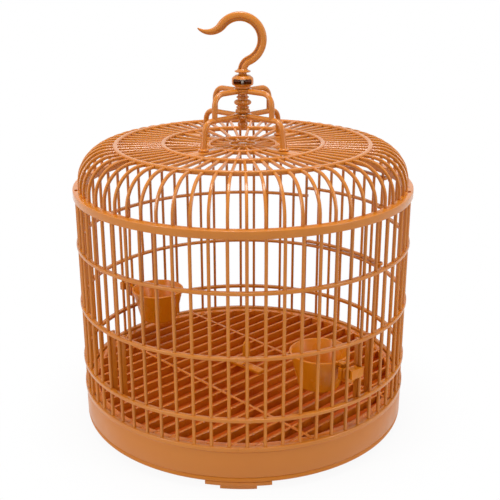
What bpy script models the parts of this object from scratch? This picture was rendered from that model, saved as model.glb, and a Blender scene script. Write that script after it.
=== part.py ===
"""Hanging bird cage of moulded plastic that imitates bent bamboo.

Metres, +Z up. The origin lies on the cage's upright axis, level with the soles of the feet.
The front seam faces -Y. An azimuth runs from the front seam towards +X, so +X is at 90 degrees.
"""
import math

import bmesh
import bpy
from mathutils import Matrix, Vector

# Wall: two half rounds of upright rods with rails between them
ROD_COUNT = 64
WALL_SPLIT_COUNTS = (0, 10, 22, 32, 42, 54, 64)
ROD_WIDTH = 0.0031
ROD_DEPTH = 0.0032
RAIL_RADIUS = 0.165
RAIL_WIDTH = 0.0046
ROD_INSET = 0.0012
SEAM_GAP = 0.0004
TOUCH_GAP = 0.0003
BOTTOM_RAIL_HEIGHT = 0.0044
LOW_RAIL_RISE = 0.0293
LOW_RAIL_HEIGHT = 0.0036
MIDDLE_RAIL_RISE = 0.0594
MIDDLE_RAIL_HEIGHT = 0.0031
HIGH_RAIL_RISE = 0.0598
HIGH_RAIL_HEIGHT = 0.0031
TOP_RAIL_RISE = 0.0503
TOP_RAIL_HEIGHT = 0.0030
TOP_RAIL_INSET = 0.0012
FIN_RODS = (15, 17)
FIN_DEPTH = 0.0050
FIN_WIDTH = 0.0023
LEANING_RODS = (17, 19)
LEAN = 0.0022

# Door: a swinging leaf that hangs on one wall rod by two eyes
DOOR_LATCH_ROD = 9
DOOR_HINGE_ROD = 23
DOOR_RAIL_HEIGHT = 0.0031
DOOR_RAIL_WIDTH = 0.0042
DOOR_MIDDLE_RAIL_LIFT = 0.0094
DOOR_SILL_GAP = 0.0014
DOOR_ROD_STUB = 0.0009
DOOR_EYE_RADIUS = 0.0046
DOOR_EYE_BORE_RADIUS = 0.0029
DOOR_EYE_SIDES = 12
DOOR_EYE_REACH_SHARE = 0.75
DOOR_TOP_CLEARANCE = 0.0052
LATCH_TAB_REACH = 0.0060
LATCH_TAB_WIDTH = 0.0016

# Base: a band on a shallow dung tray with three feet
FOOT_STEP_HEIGHT = 0.0036
FOOT_HEIGHT = 0.0077
FOOT_WIDE_LENGTH = 0.0613
FOOT_NARROW_LENGTH = 0.0338
FOOT_WIDTH = 0.0130
FOOT_INSET = 0.0010
FOOT_STEP_INSET = 0.0010
FOOT_COUNT = 3
BAND_INSET = 0.0010
BAND_WALL = 0.0024
BAND_HEIGHT = 0.0260
BAND_FLANGE_WIDTH = 0.0090
BAND_FLANGE_THICKNESS = 0.0024
TRAY_RIM_HEIGHT = 0.0049
TRAY_RIM_WIDTH = 0.0120
TRAY_FLOOR_THICKNESS = 0.0018
TRAY_FLOOR_LIFT = 0.0016
TRAY_WALL = 0.0016
TRAY_UPSTAND = 0.0120

# Floor grate
GRATE_THICKNESS = 0.0082
GRATE_LIP = 0.0026
GRATE_LIP_WIDTH = 0.0068
GRATE_RIM_WIDTH = 0.0024
SLAT_PITCH = 0.0160
SLAT_WIDTH = 0.0017
SLAT_SHIFT = 0.0066
SLAT_RISE = 0.0006
CROWN_SPREAD = 0.0008
CROWN_HEIGHT = 0.0020
CROWN_INSET = 0.0006
BAR_OFFSET = 0.0540
BAR_WIDTH = 0.0030
BAR_RISE = 0.0004
GRATE_TURN = math.radians(45)

# Dome: hoop, shoulder ribs and three roof rings round a hub
SHOULDER_COUNT = 8
HOOP_OVERHANG = 0.0005
HOOP_HEIGHT = 0.0073
HOOP_WIDTH = 0.0083
HOOP_GROOVE_DEPTH = 0.0043
HOOP_SLOT_LENGTH = 0.0060
HOOP_SLOT_WIDTH = 0.0028
HOOP_SLOT_DEPTH = 0.0022
HOOP_SLOT_INSET = 0.0020
RIB_WIDTH = 0.0028
RIB_DEPTH = 0.0030
RIB_FOOT_INSET = 0.0067
SHOULDER_RADIUS = 0.0310
SHOULDER_STEPS = 4
SHOULDER_LIFT = 0.0077
OUTER_RING_INSET = 0.0048
MIDDLE_RING_RADIUS = 0.0775
INNER_RING_RADIUS = 0.0332
RING_THICKNESS = 0.0042
RING_STAND = 0.0012
HUB_RADIUS = 0.0080
HUB_THICKNESS = 0.0032
HUB_JOINT_SHARE = 0.85
INNER_RIB_WIDTH = 0.0022
PAD_WIDTH = 0.0090
PAD_THICKNESS = 0.0026
PAD_DROP = 0.0008
PAD_COUNTS = (17, 49, 81, 113)
CENTRE_DROP = 0.0018
HOOP_SLOT_RIBS = (27, 101)

# Claw: two crossed arches, each with an upper and a lower bow
ARM_THICKNESS = 0.0052
LEG_THICKNESS = 0.0064
ARM_SIDES = 6
LEG_TOP_RADIUS = 0.0510
LEG_SPLAY = 0.0018
LOWER_BOW_BEND = 0.0100
UPPER_BOW_RADIUS = 0.0375
UPPER_BOW_BEND = 0.0110
BEND_STEPS = 4
CLAW_RISE = 0.0243
HUB_SPACING = 0.0239
HUB_PLATE_HEIGHT = 0.0043
HUB_PLATE_RADIUS = 0.0088
HUB_ARC_STEPS = 7
CLAW_FOOT_RADIUS = 0.0052
CLAW_FOOT_HEIGHT = 0.0022
CLAW_FOOT_NECK_RADIUS = 0.0038
PEG_RADIUS = 0.0020

# Spindle, finial, swivel and hook
SPINDLE_BORE_RADIUS = 0.0026
PIN_RADIUS = 0.0018
TENON_CLEARANCE = 0.0003
SPINDLE_NECK_RADIUS = 0.0045
SPINDLE_BEAD_RADIUS = 0.0084
SPINDLE_FILLET_RADIUS = 0.0061
SPINDLE_BODY_RADIUS = 0.0072
SPINDLE_BEAD_HEIGHT = 0.0056
SPINDLE_FILLET_HEIGHT = 0.0013
BEAD_PLACE_SHARE = 0.55
LOW_FILLET_SHARE = 0.27
HIGH_FILLET_SHARE = 0.80
FINIAL_RADIUS = 0.0050
FINIAL_NECK_RADIUS = 0.0032
FINIAL_TIP_RADIUS = 0.0026
FINIAL_LENGTH = 0.0105
HOUSING_RADIUS = 0.0104
HOUSING_LIP_RADIUS = 0.0076
HOUSING_LIP_HEIGHT = 0.0030
HOUSING_HEIGHT = 0.0124
HOUSING_WALL = 0.0018
HOUSING_WINDOW_HEIGHT = 0.0052
HOUSING_WINDOW_LIFT = 0.0042
WINDOW_BACK = 0.0046
PIN_HEAD_RADIUS = 0.0042
PIN_HEAD_HEIGHT = 0.0014
PIN_BORE_RADIUS = 0.0023
COLLAR_RADIUS = 0.0077
COLLAR_HEIGHT = 0.0033
COLLAR_NECK_RADIUS = 0.0038
COLLAR_NECK_HEIGHT = 0.0024
HOOK_THICKNESS = 0.0088
HOOK_RADIUS = 0.0210
HOOK_CURL_RADIUS = 0.0100
HOOK_CURL_DROP = 0.0008
HOOK_BELLY_RADIUS = 0.0160
HOOK_RETURN_DEGREES = 66
HOOK_DROP_DEGREES = 142
HOOK_TIP_DEGREES = 40
HOOK_CURL_STEPS = 4
HOOK_RING_STEPS = 14
HOOK_TIP_STEPS = 8
HOOK_TIP_THICKNESS = 0.0009
HOOK_TAPER_POWER = 0.75
TURNED_SIDES = 16

# Seed cups and the arms that clamp them between two rods
CUP_RADIUS = 0.0278
CUP_BOTTOM_RADIUS = 0.0200
CUP_HEIGHT = 0.0340
CUP_WALL = 0.0015
CUP_RIM_RISE = 0.0357
CUP_ARM_GAP = 0.0020
CUP_SIDES = 24
CUP_LIP = 0.0007
CUP_LIP_HEIGHT = 0.0016
CUP_JOINT_SHARE = 0.75
ARM_BOX_WIDTH = 0.0096
ARM_BOX_HEIGHT = 0.0115
ARM_BOX_DROP = 0.0160
ARM_REACH = 0.0182
BLOCK_HEIGHT = 0.0092
BLOCK_LIFT = 0.0062
BLOCK_OUTSIDE = 0.0024
BLOCK_CHEEK = 0.0026
CLAMP_PLATE_THICKNESS = 0.0018
POCKET_WIDTH = 0.0064
POCKET_LENGTH = 0.0034
POCKET_DEPTH = 0.0080
POCKET_WALL = 0.0016
GROOVE_COUNT = 3
GROOVE_WIDTH = 0.0014
GROOVE_DEPTH = 0.0012
GROOVE_PITCH = 0.0026
CUP_PLACES = {"right": 14, "left": -44}

# Greens clip left lying on the grate
CLIP_LENGTH = 0.0440
CLIP_WIDTH = 0.0100
CLIP_THICKNESS = 0.0030
CLIP_JAW_LENGTH = 0.0250
CLIP_JAW_WIDTH = 0.0100
CLIP_JAW_BAR = 0.0020
CLIP_TOOTH_COUNT = 3
CLIP_EAR_HEIGHT = 0.0046
CLIP_EAR_WIDTH = 0.0020
CLIP_EAR_LENGTH = 0.0044
CLIP_PIN_Z = 0.0054
CLIP_PIN_RADIUS = 0.0010
CLIP_PIN_BORE_RADIUS = 0.0013
CLIP_PLACE_X = 0.0030
CLIP_PLACE_FORWARD = 0.0030
CLIP_TURN = math.radians(-41)

OVERRUN = 0.0020
STEP = 2 * math.pi / ROD_COUNT

# Radii and heights that follow from the sizes above
BAND_RADIUS = RAIL_RADIUS - BAND_INSET
HOOP_RADIUS = RAIL_RADIUS + HOOP_OVERHANG
RIB_FOOT_RADIUS = HOOP_RADIUS - RIB_FOOT_INSET
OUTER_RING_RADIUS = RIB_FOOT_RADIUS - SHOULDER_RADIUS - OUTER_RING_INSET
LEG_FOOT_RADIUS = LEG_TOP_RADIUS + LEG_SPLAY
ARM_BOX_START = RAIL_RADIUS - ARM_REACH
CUP_AXIS_RADIUS = ARM_BOX_START - CUP_RADIUS - CUP_ARM_GAP
TRAY_Z = FOOT_HEIGHT + TOUCH_GAP
BAND_Z = TRAY_Z + TRAY_RIM_HEIGHT + TOUCH_GAP
BAND_TOP = BAND_Z + BAND_HEIGHT
BOTTOM_RAIL_Z = BAND_TOP + TOUCH_GAP
LOW_RAIL_Z = BOTTOM_RAIL_Z + LOW_RAIL_RISE
MIDDLE_RAIL_Z = LOW_RAIL_Z + MIDDLE_RAIL_RISE
HIGH_RAIL_Z = MIDDLE_RAIL_Z + HIGH_RAIL_RISE
TOP_RAIL_Z = HIGH_RAIL_Z + TOP_RAIL_RISE
DOOR_MIDDLE_RAIL_Z = HIGH_RAIL_Z + DOOR_MIDDLE_RAIL_LIFT
CUP_RIM_Z = LOW_RAIL_Z + CUP_RIM_RISE
ARM_BOX_Z = CUP_RIM_Z - ARM_BOX_DROP
BLOCK_Z = ARM_BOX_Z + BLOCK_LIFT
HOOP_Z = TOP_RAIL_Z + TOP_RAIL_HEIGHT + TOUCH_GAP - HOOP_GROOVE_DEPTH
HOOP_TOP = HOOP_Z + HOOP_HEIGHT
ROOF_TOP = HOOP_TOP + SHOULDER_RADIUS + SHOULDER_LIFT
PAD_TOP = ROOF_TOP - PAD_DROP
LOWER_HUB_Z = PAD_TOP + CLAW_RISE
UPPER_HUB_Z = LOWER_HUB_Z + HUB_SPACING
RIB_Z = ROOF_TOP - RIB_DEPTH / 2
RAIL_INNER = RAIL_RADIUS - RAIL_WIDTH
ROD_RADIUS = RAIL_RADIUS - ROD_INSET - ROD_DEPTH / 2
RAIL_PLACES = {
    "bottom": (BOTTOM_RAIL_Z, BOTTOM_RAIL_HEIGHT),
    "low": (LOW_RAIL_Z, LOW_RAIL_HEIGHT),
    "middle": (MIDDLE_RAIL_Z, MIDDLE_RAIL_HEIGHT),
    "high": (HIGH_RAIL_Z, HIGH_RAIL_HEIGHT),
    "top": (TOP_RAIL_Z, TOP_RAIL_HEIGHT),
}
WALL_LEVELS = tuple(RAIL_PLACES)
GRATE_RIM_RADIUS = BAND_RADIUS - BAND_FLANGE_WIDTH - TOUCH_GAP
GRATE_TOP = BAND_TOP + TOUCH_GAP + GRATE_LIP
SLAT_TOP = GRATE_TOP + SLAT_RISE
HOUSING_Z = UPPER_HUB_Z + HUB_PLATE_HEIGHT + TOUCH_GAP
HOOK_Z = HOUSING_Z + HOUSING_HEIGHT + TOUCH_GAP
PIN_TOP = HOOK_Z + COLLAR_NECK_HEIGHT + COLLAR_HEIGHT / 2

PLASTICS = {
    "cane": ((0.60, 0.23, 0.05, 1), 0.32, 0),
    "cane_dark": ((0.42, 0.10, 0.012, 1), 0.38, 0),
    "cup": ((0.62, 0.22, 0.02, 1), 0.30, 0),
    "steel": ((0.55, 0.54, 0.52, 1), 0.30, 1),
}


def around(azimuth):
    """Turn from the front seam to this azimuth."""
    return Matrix.Rotation(azimuth, 4, "Z")


def outward(azimuth):
    return Vector((math.sin(azimuth), -math.cos(azimuth), 0))


def rod_azimuth(count):
    """Azimuth of the rod that stands this odd number of half steps from the front seam."""
    return count * STEP / 2


def from_back(count):
    return math.pi - rod_azimuth(count)


def plastic(name):
    colour, roughness, metallic = PLASTICS[name.split(":")[0]]
    material = bpy.data.materials.new(name)
    material.use_nodes = True
    shader = material.node_tree.nodes["Principled BSDF"]
    shader.inputs["Base Color"].default_value = colour
    shader.inputs["Roughness"].default_value = roughness
    shader.inputs["Metallic"].default_value = metallic
    return material


def as_object(name, bm, kind=None, smooth=False, origin=Vector()):
    """A mesh object with this origin; without a kind it is a hidden helper for a Boolean."""
    bmesh.ops.recalc_face_normals(bm, faces=bm.faces)
    bmesh.ops.translate(bm, verts=bm.verts, vec=-origin)
    mesh = bpy.data.meshes.new(name)
    bm.to_mesh(mesh)
    bm.free()
    obj = bpy.data.objects.new(name, mesh)
    obj.location = origin
    bpy.context.collection.objects.link(obj)
    if kind is None:
        obj.hide_render = True
        obj.display_type = "WIRE"
    else:
        mesh.materials.append(plastic(f"{kind}:{name}"))
        if smooth:
            mesh.shade_smooth()
            mesh.set_sharp_from_angle(angle=math.radians(35))
    return obj


def combine(obj, helper, operation="UNION"):
    modifier = obj.modifiers.new(f"{operation.lower()} {helper.name}", "BOOLEAN")
    modifier.operation = operation
    modifier.solver = "EXACT"
    modifier.object = helper
    return obj


def add_box(bm, size, place):
    """A box of this size (across, outward, up) in the frame that place gives."""
    bmesh.ops.create_cube(bm, size=1, matrix=place @ Matrix.Diagonal((*size, 1)))


def add_radial_box(bm, azimuth, inner, outer, width, low, high):
    middle = Vector((0, -(inner + outer) / 2, (low + high) / 2))
    place = around(azimuth) @ Matrix.Translation(middle)
    add_box(bm, (width, outer - inner, high - low), place)


def add_turned(bm, profile, start=0.0, sweep=2 * math.pi, steps=ROD_COUNT // 2):
    """Sweep an (r, z) outline about the axis from one azimuth; a part turn gets end caps."""
    turn = around(start)
    verts = [bm.verts.new(turn @ Vector((0, -r, z))) for r, z in profile]
    edges = [bm.edges.new((a, b)) for a, b in zip(verts, verts[1:] + verts[:1])]
    whole = sweep > 2 * math.pi - STEP / 2
    swept = bmesh.ops.spin(
        bm, geom=verts + edges, cent=(0, 0, 0), axis=(0, 0, 1), angle=sweep, steps=steps, use_merge=whole
    )
    if not whole:
        bm.faces.new(verts)
        last = [item for item in swept["geom_last"] if isinstance(item, bmesh.types.BMVert)]
        bm.faces.new(last)


def add_lathe(bm, profile, sides=TURNED_SIDES, place=Matrix.Identity(4)):
    """A solid turned from an (r, z) outline that starts and ends on its axis."""
    earlier = set(bm.verts)
    verts = [bm.verts.new((r, 0, z)) for r, z in profile]
    edges = [bm.edges.new(pair) for pair in zip(verts, verts[1:])]
    bmesh.ops.spin(
        bm, geom=verts + edges, cent=(0, 0, 0), axis=(0, 0, 1), angle=2 * math.pi, steps=sides, use_merge=True
    )
    bmesh.ops.remove_doubles(bm, verts=[v for v in bm.verts if v not in earlier], dist=TOUCH_GAP / 100)
    bmesh.ops.transform(bm, matrix=place, verts=[v for v in bm.verts if v not in earlier])


def rectangle(inner, outer, low, high):
    return [(inner, low), (outer, low), (outer, high), (inner, high)]


def arc_points(centre, radius, start, end, steps):
    """Points (u, v) on an arc, both ends included."""
    for i in range(steps + 1):
        angle = start + (end - start) * i / steps
        yield (centre[0] + radius * math.cos(angle), centre[1] + radius * math.sin(angle))


def thickened(path, thickness):
    """The closed outline of a flat strip along a path of (u, v) points."""
    left, right = [], []
    for i, point in enumerate(path):
        before = path[max(i - 1, 0)]
        after = path[min(i + 1, len(path) - 1)]
        along = Vector((after[0] - before[0], after[1] - before[1])).normalized()
        side = Vector((-along.y, along.x)) * thickness / 2
        left.append((point[0] + side.x, point[1] + side.y))
        right.append((point[0] - side.x, point[1] - side.y))
    return left + right[::-1]


def add_plate(bm, outline, width, azimuth):
    """A plate of this width whose (r, z) outline stands in the upright plane at an azimuth."""
    turn = around(azimuth)
    verts = [bm.verts.new(turn @ Vector((-width / 2, -r, z))) for r, z in outline]
    face = bm.faces.new(verts)
    made = bmesh.ops.extrude_face_region(bm, geom=[face])
    moved = [item for item in made["geom"] if isinstance(item, bmesh.types.BMVert)]
    bmesh.ops.translate(bm, verts=moved, vec=turn.to_3x3() @ Vector((width, 0, 0)))


def add_tube(bm, path, thicknesses, azimuth, sides=ARM_SIDES):
    """A capped tube along (r, z) points in the upright plane at an azimuth."""
    turn = around(azimuth)
    normal = turn @ Vector((1, 0, 0))
    points = [turn @ Vector((0, -r, z)) for r, z in path]
    rings = []
    for i, point in enumerate(points):
        along = (points[min(i + 1, len(points) - 1)] - points[max(i - 1, 0)]).normalized()
        side = along.cross(normal)
        ring = []
        for k in range(sides):
            angle = 2 * math.pi * (k + 0.5) / sides
            offset = normal * math.cos(angle) + side * math.sin(angle)
            ring.append(bm.verts.new(point + offset * thicknesses[i] / 2))
        rings.append(ring)
    for lower, upper in zip(rings, rings[1:]):
        for k in range(sides):
            bm.faces.new((lower[k], lower[(k + 1) % sides], upper[(k + 1) % sides], upper[k]))
    bm.faces.new(rings[0][::-1])
    bm.faces.new(rings[-1])


def add_extruded(bm, outline, low, high, place=Matrix.Identity(4)):
    """A plate with this (x, y) outline between two heights."""
    verts = [bm.verts.new(place @ Vector((x, y, low))) for x, y in outline]
    made = bmesh.ops.extrude_face_region(bm, geom=[bm.faces.new(verts)])
    moved = [item for item in made["geom"] if isinstance(item, bmesh.types.BMVert)]
    bmesh.ops.translate(bm, verts=moved, vec=place.to_3x3() @ Vector((0, 0, high - low)))


def add_cylinder(bm, radius, low, high, place=Matrix.Identity(4), sides=TURNED_SIDES):
    matrix = place @ Matrix.Translation((0, 0, (low + high) / 2))
    bmesh.ops.create_cone(
        bm, cap_ends=True, segments=sides, radius1=radius, radius2=radius, depth=high - low, matrix=matrix
    )


# Wall and door

def rail_arc(bm, low, height, start, end, inner=RAIL_INNER, outer=RAIL_RADIUS, pitch=2 * STEP):
    steps = max(1, math.ceil((end - start) / pitch))
    add_turned(bm, rectangle(inner, outer, low, low + height), start, end - start, steps)


def add_rod(bm, azimuth, low, high):
    half = ROD_DEPTH / 2
    add_radial_box(bm, azimuth, ROD_RADIUS - half, ROD_RADIUS + half, ROD_WIDTH, low, high)


def add_leaning_rod(bm, azimuth, low, high, lean):
    """A rod whose foot is moved sideways by the lean while its top stays on the azimuth."""
    turn = around(azimuth)
    ends = []
    for z, shift in ((low, lean), (high, 0)):
        corners = []
        for x, r in ((-1, -1), (1, -1), (1, 1), (-1, 1)):
            corner = Vector((x * ROD_WIDTH / 2 + shift, -ROD_RADIUS - r * ROD_DEPTH / 2, z))
            corners.append(bm.verts.new(turn @ corner))
        ends.append(corners)
    for k in range(4):
        bm.faces.new((ends[0][k], ends[0][(k + 1) % 4], ends[1][(k + 1) % 4], ends[1][k]))
    bm.faces.new(ends[0][::-1])
    bm.faces.new(ends[1])


def wall_part(name, side, first, last, levels=WALL_LEVELS, rod_top="top"):
    """A stretch of one half of the wall between two angles from the back seam."""
    turn = math.pi - last if side > 0 else math.pi + first
    rails = bmesh.new()
    for level in levels:
        low, height = RAIL_PLACES[level]
        end = turn + last - first
        if level == "top":
            rail_arc(rails, low, height, turn, end, outer=RAIL_RADIUS - TOP_RAIL_INSET, pitch=STEP)
        else:
            rail_arc(rails, low, height, turn, end)
    stretch = as_object(name, rails, "cane", smooth=True)
    middles = {level: low + height / 2 for level, (low, height) in RAIL_PLACES.items()}
    rods = bmesh.new()
    extras = bmesh.new()
    for count in range(1, ROD_COUNT, 2):
        if rod_top is None or not first < rod_azimuth(count) < last:
            continue
        azimuth = from_back(count) * side
        if side < 0 and count in LEANING_RODS:
            add_rod(rods, azimuth, middles["bottom"], middles["middle"])
            add_rod(rods, azimuth, middles["high"], middles["top"])
            lean = LEAN if count == LEANING_RODS[1] else -LEAN
            add_leaning_rod(extras, azimuth, middles["middle"], middles["high"], lean)
        else:
            add_rod(rods, azimuth, middles["bottom"], middles[rod_top])
        if ROD_COUNT - count in FIN_RODS:
            inner = ROD_RADIUS - ROD_DEPTH / 2 - FIN_DEPTH
            add_radial_box(extras, azimuth, inner, ROD_RADIUS, FIN_WIDTH, middles["low"], middles["middle"])
    if rod_top is not None:
        combine(stretch, as_object(f"{name}_rods", rods))
    if extras.verts:
        combine(stretch, as_object(f"{name}_extras", extras))
    return stretch


def wall_half(word, side):
    """One half round of the wall in stretches; the right half has the doorway in its second one."""
    gap = TOUCH_GAP / 2 / RAIL_RADIUS
    seam = SEAM_GAP / 2 / RAIL_RADIUS
    splits = [rod_azimuth(count) for count in WALL_SPLIT_COUNTS]
    if side > 0:
        past_rod = ROD_WIDTH / 2 / ROD_RADIUS + gap
        splits[1] = rod_azimuth(DOOR_LATCH_ROD) + past_rod
        splits[2] = rod_azimuth(DOOR_HINGE_ROD) - past_rod
    last_number = len(splits) - 1
    for number in range(1, last_number + 1):
        first = splits[number - 1] + (seam if number == 1 else gap)
        last = splits[number] - (seam if number == last_number else gap)
        if side > 0 and number == 2:
            wall_part("wall_sill", side, first, last, WALL_LEVELS[:3], "middle")
            wall_part("wall_lintel", side, first, last, WALL_LEVELS[-1:], None)
        else:
            wall_part(f"wall_{word}_{number}", side, first, last)


def door():
    """The leaf turns about the hinge rod; its rods end in short stubs just over the sill."""
    spare = (RAIL_WIDTH - DOOR_RAIL_WIDTH) / 2
    inner = RAIL_INNER + spare
    outer = RAIL_RADIUS - spare
    reach = DOOR_EYE_RADIUS / ROD_RADIUS
    rod_edge = (ROD_WIDTH / 2 + 2 * TOUCH_GAP) / ROD_RADIUS
    start = from_back(DOOR_HINGE_ROD) + reach * DOOR_EYE_REACH_SHARE
    end = from_back(DOOR_LATCH_ROD) - rod_edge
    bottom_z = MIDDLE_RAIL_Z + MIDDLE_RAIL_HEIGHT + DOOR_SILL_GAP
    top_z = HOOP_Z - DOOR_TOP_CLEARANCE - DOOR_RAIL_HEIGHT
    levels = (bottom_z, DOOR_MIDDLE_RAIL_Z, top_z)
    rails = bmesh.new()
    rods = bmesh.new()
    eyes = bmesh.new()
    bores = bmesh.new()
    hinge_spot = outward(from_back(DOOR_HINGE_ROD)) * ROD_RADIUS
    hinge = Matrix.Translation(hinge_spot)
    for level in levels:
        rail_arc(rails, level, DOOR_RAIL_HEIGHT, start, end, inner, outer)
        add_cylinder(eyes, DOOR_EYE_RADIUS, level, level + DOOR_RAIL_HEIGHT, hinge, DOOR_EYE_SIDES)
    top = top_z + DOOR_RAIL_HEIGHT + OVERRUN
    add_cylinder(bores, DOOR_EYE_BORE_RADIUS, bottom_z - OVERRUN, top, hinge, DOOR_EYE_SIDES)
    for count in range(DOOR_LATCH_ROD + 2, DOOR_HINGE_ROD, 2):
        add_rod(rods, from_back(count), bottom_z - DOOR_ROD_STUB, top_z + DOOR_RAIL_HEIGHT / 2)
    tab = bmesh.new()
    tab_azimuth = end - LATCH_TAB_REACH / 2 / RAIL_RADIUS
    add_radial_box(
        tab, tab_azimuth, outer - LATCH_TAB_WIDTH, outer + LATCH_TAB_WIDTH, LATCH_TAB_REACH,
        bottom_z + TOUCH_GAP, bottom_z + DOOR_RAIL_HEIGHT - TOUCH_GAP,
    )
    leaf = as_object("door", rails, "cane", smooth=True, origin=hinge_spot + Vector((0, 0, bottom_z)))
    combine(leaf, as_object("door_rods", rods))
    combine(leaf, as_object("door_eyes", eyes))
    combine(leaf, as_object("door_latch_tab", tab))
    return combine(leaf, as_object("door_eye_bores", bores), "DIFFERENCE")


# Base, tray, feet and grate

def base_band():
    bm = bmesh.new()
    outer = BAND_RADIUS
    inner = BAND_RADIUS - BAND_WALL
    flange_inner = BAND_RADIUS - BAND_FLANGE_WIDTH
    flange_low = BAND_TOP - BAND_FLANGE_THICKNESS
    add_turned(bm, [
        (inner, BAND_Z), (outer, BAND_Z), (outer, BAND_TOP),
        (flange_inner, BAND_TOP), (flange_inner, flange_low), (inner, flange_low),
    ])
    return as_object("base_band", bm, "cane", smooth=True)


def dung_tray():
    """A shallow pan whose rim shows as the bead under the band; its wall stands inside the band."""
    bm = bmesh.new()
    wall_outer = BAND_RADIUS - BAND_WALL - TOUCH_GAP
    wall_inner = wall_outer - TRAY_WALL
    rim_inner = BAND_RADIUS - TRAY_RIM_WIDTH
    rim_top = TRAY_Z + TRAY_RIM_HEIGHT
    floor_low = TRAY_Z + TRAY_FLOOR_LIFT
    floor_top = floor_low + TRAY_FLOOR_THICKNESS
    wall_top = rim_top + TRAY_UPSTAND
    add_lathe(bm, [
        (0, floor_low), (rim_inner, floor_low), (rim_inner, TRAY_Z), (BAND_RADIUS, TRAY_Z),
        (BAND_RADIUS, rim_top), (wall_outer, rim_top), (wall_outer, wall_top),
        (wall_inner, wall_top), (wall_inner, floor_top), (0, floor_top),
    ], sides=ROD_COUNT // 2)
    return as_object("dung_tray", bm, "cane_dark", smooth=True)


def foot(name, azimuth):
    """A plinth foot in two steps that follows the rim of the tray."""
    outer = BAND_RADIUS - FOOT_INSET
    inner = outer - FOOT_WIDTH
    wide = FOOT_WIDE_LENGTH / BAND_RADIUS
    narrow = FOOT_NARROW_LENGTH / BAND_RADIUS
    upper = bmesh.new()
    add_turned(upper, rectangle(inner, outer, FOOT_STEP_HEIGHT, FOOT_HEIGHT), azimuth - wide / 2, wide, 6)
    lower = bmesh.new()
    step_outer = outer - FOOT_STEP_INSET
    step_inner = inner + FOOT_STEP_INSET
    step_top = (FOOT_STEP_HEIGHT + FOOT_HEIGHT) / 2
    add_turned(lower, rectangle(step_inner, step_outer, 0, step_top), azimuth - narrow / 2, narrow, 4)
    body = as_object(name, upper, "cane", smooth=True)
    return combine(body, as_object(f"{name}_step", lower))


def add_strip(bm, offset, width, low, top, reach, turn):
    """An upright strip whose end corners lie on the circle of the given reach."""
    half = math.sqrt(reach**2 - (abs(offset) + width / 2) ** 2)
    add_box(bm, (2 * half, width, top - low), turn @ Matrix.Translation((0, offset, (low + top) / 2)))


def floor_grate():
    rim = bmesh.new()
    low = GRATE_TOP - GRATE_THICKNESS
    rim_inner = GRATE_RIM_RADIUS - GRATE_RIM_WIDTH
    lip_outer = GRATE_RIM_RADIUS + GRATE_LIP_WIDTH - GRATE_RIM_WIDTH
    add_turned(rim, [
        (rim_inner, low), (GRATE_RIM_RADIUS, low), (GRATE_RIM_RADIUS, GRATE_TOP - GRATE_LIP),
        (lip_outer, GRATE_TOP - GRATE_LIP), (lip_outer, GRATE_TOP), (rim_inner, GRATE_TOP),
    ])
    grate = as_object("floor_grate", rim, "cane", smooth=True)
    web_reach = GRATE_RIM_RADIUS - GRATE_RIM_WIDTH / 4
    crown_reach = lip_outer - CROWN_INSET
    crown_low = SLAT_TOP - CROWN_HEIGHT
    webs = bmesh.new()
    crowns = bmesh.new()
    turn = Matrix.Rotation(GRATE_TURN, 4, "Z")
    count = int(rim_inner / SLAT_PITCH)
    for offset in [k * SLAT_PITCH + SLAT_SHIFT for k in range(-count - 1, count + 1)]:
        if abs(offset) < rim_inner - 2 * SLAT_WIDTH:
            add_strip(webs, offset, SLAT_WIDTH, low + TOUCH_GAP, crown_low + TOUCH_GAP, web_reach, turn)
            add_strip(crowns, offset, SLAT_WIDTH + CROWN_SPREAD, crown_low, SLAT_TOP, crown_reach, turn)
    combine(grate, as_object("floor_grate_webs", webs))
    combine(grate, as_object("floor_grate_crowns", crowns))
    bars = bmesh.new()
    across = turn @ Matrix.Rotation(math.pi / 2, 4, "Z")
    for offset in (-BAR_OFFSET, BAR_OFFSET):
        add_strip(bars, offset, BAR_WIDTH, crown_low + BAR_RISE, SLAT_TOP + BAR_RISE, crown_reach, across)
    return combine(grate, as_object("floor_grate_bars", bars))


# Dome

def roof_ring(bm, radius, start=0.0, sweep=2 * math.pi, steps=ROD_COUNT // 2, drop=0.0):
    high = ROOF_TOP + RING_STAND - drop
    low = high - RING_THICKNESS - RING_STAND / 2
    half = RING_THICKNESS / 2
    crown = RING_THICKNESS / 3
    profile = [(radius - half, low), (radius + half, low), (radius + crown, high), (radius - crown, high)]
    add_turned(bm, profile, start, sweep, steps)


def shoulder_path(start, end, steps=SHOULDER_STEPS):
    """The ribs' middle line round the shoulder, from one angle above the level to another."""
    centre = (RIB_FOOT_RADIUS - SHOULDER_RADIUS, RIB_Z - SHOULDER_RADIUS)
    return list(arc_points(centre, SHOULDER_RADIUS, start, end, steps))


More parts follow.
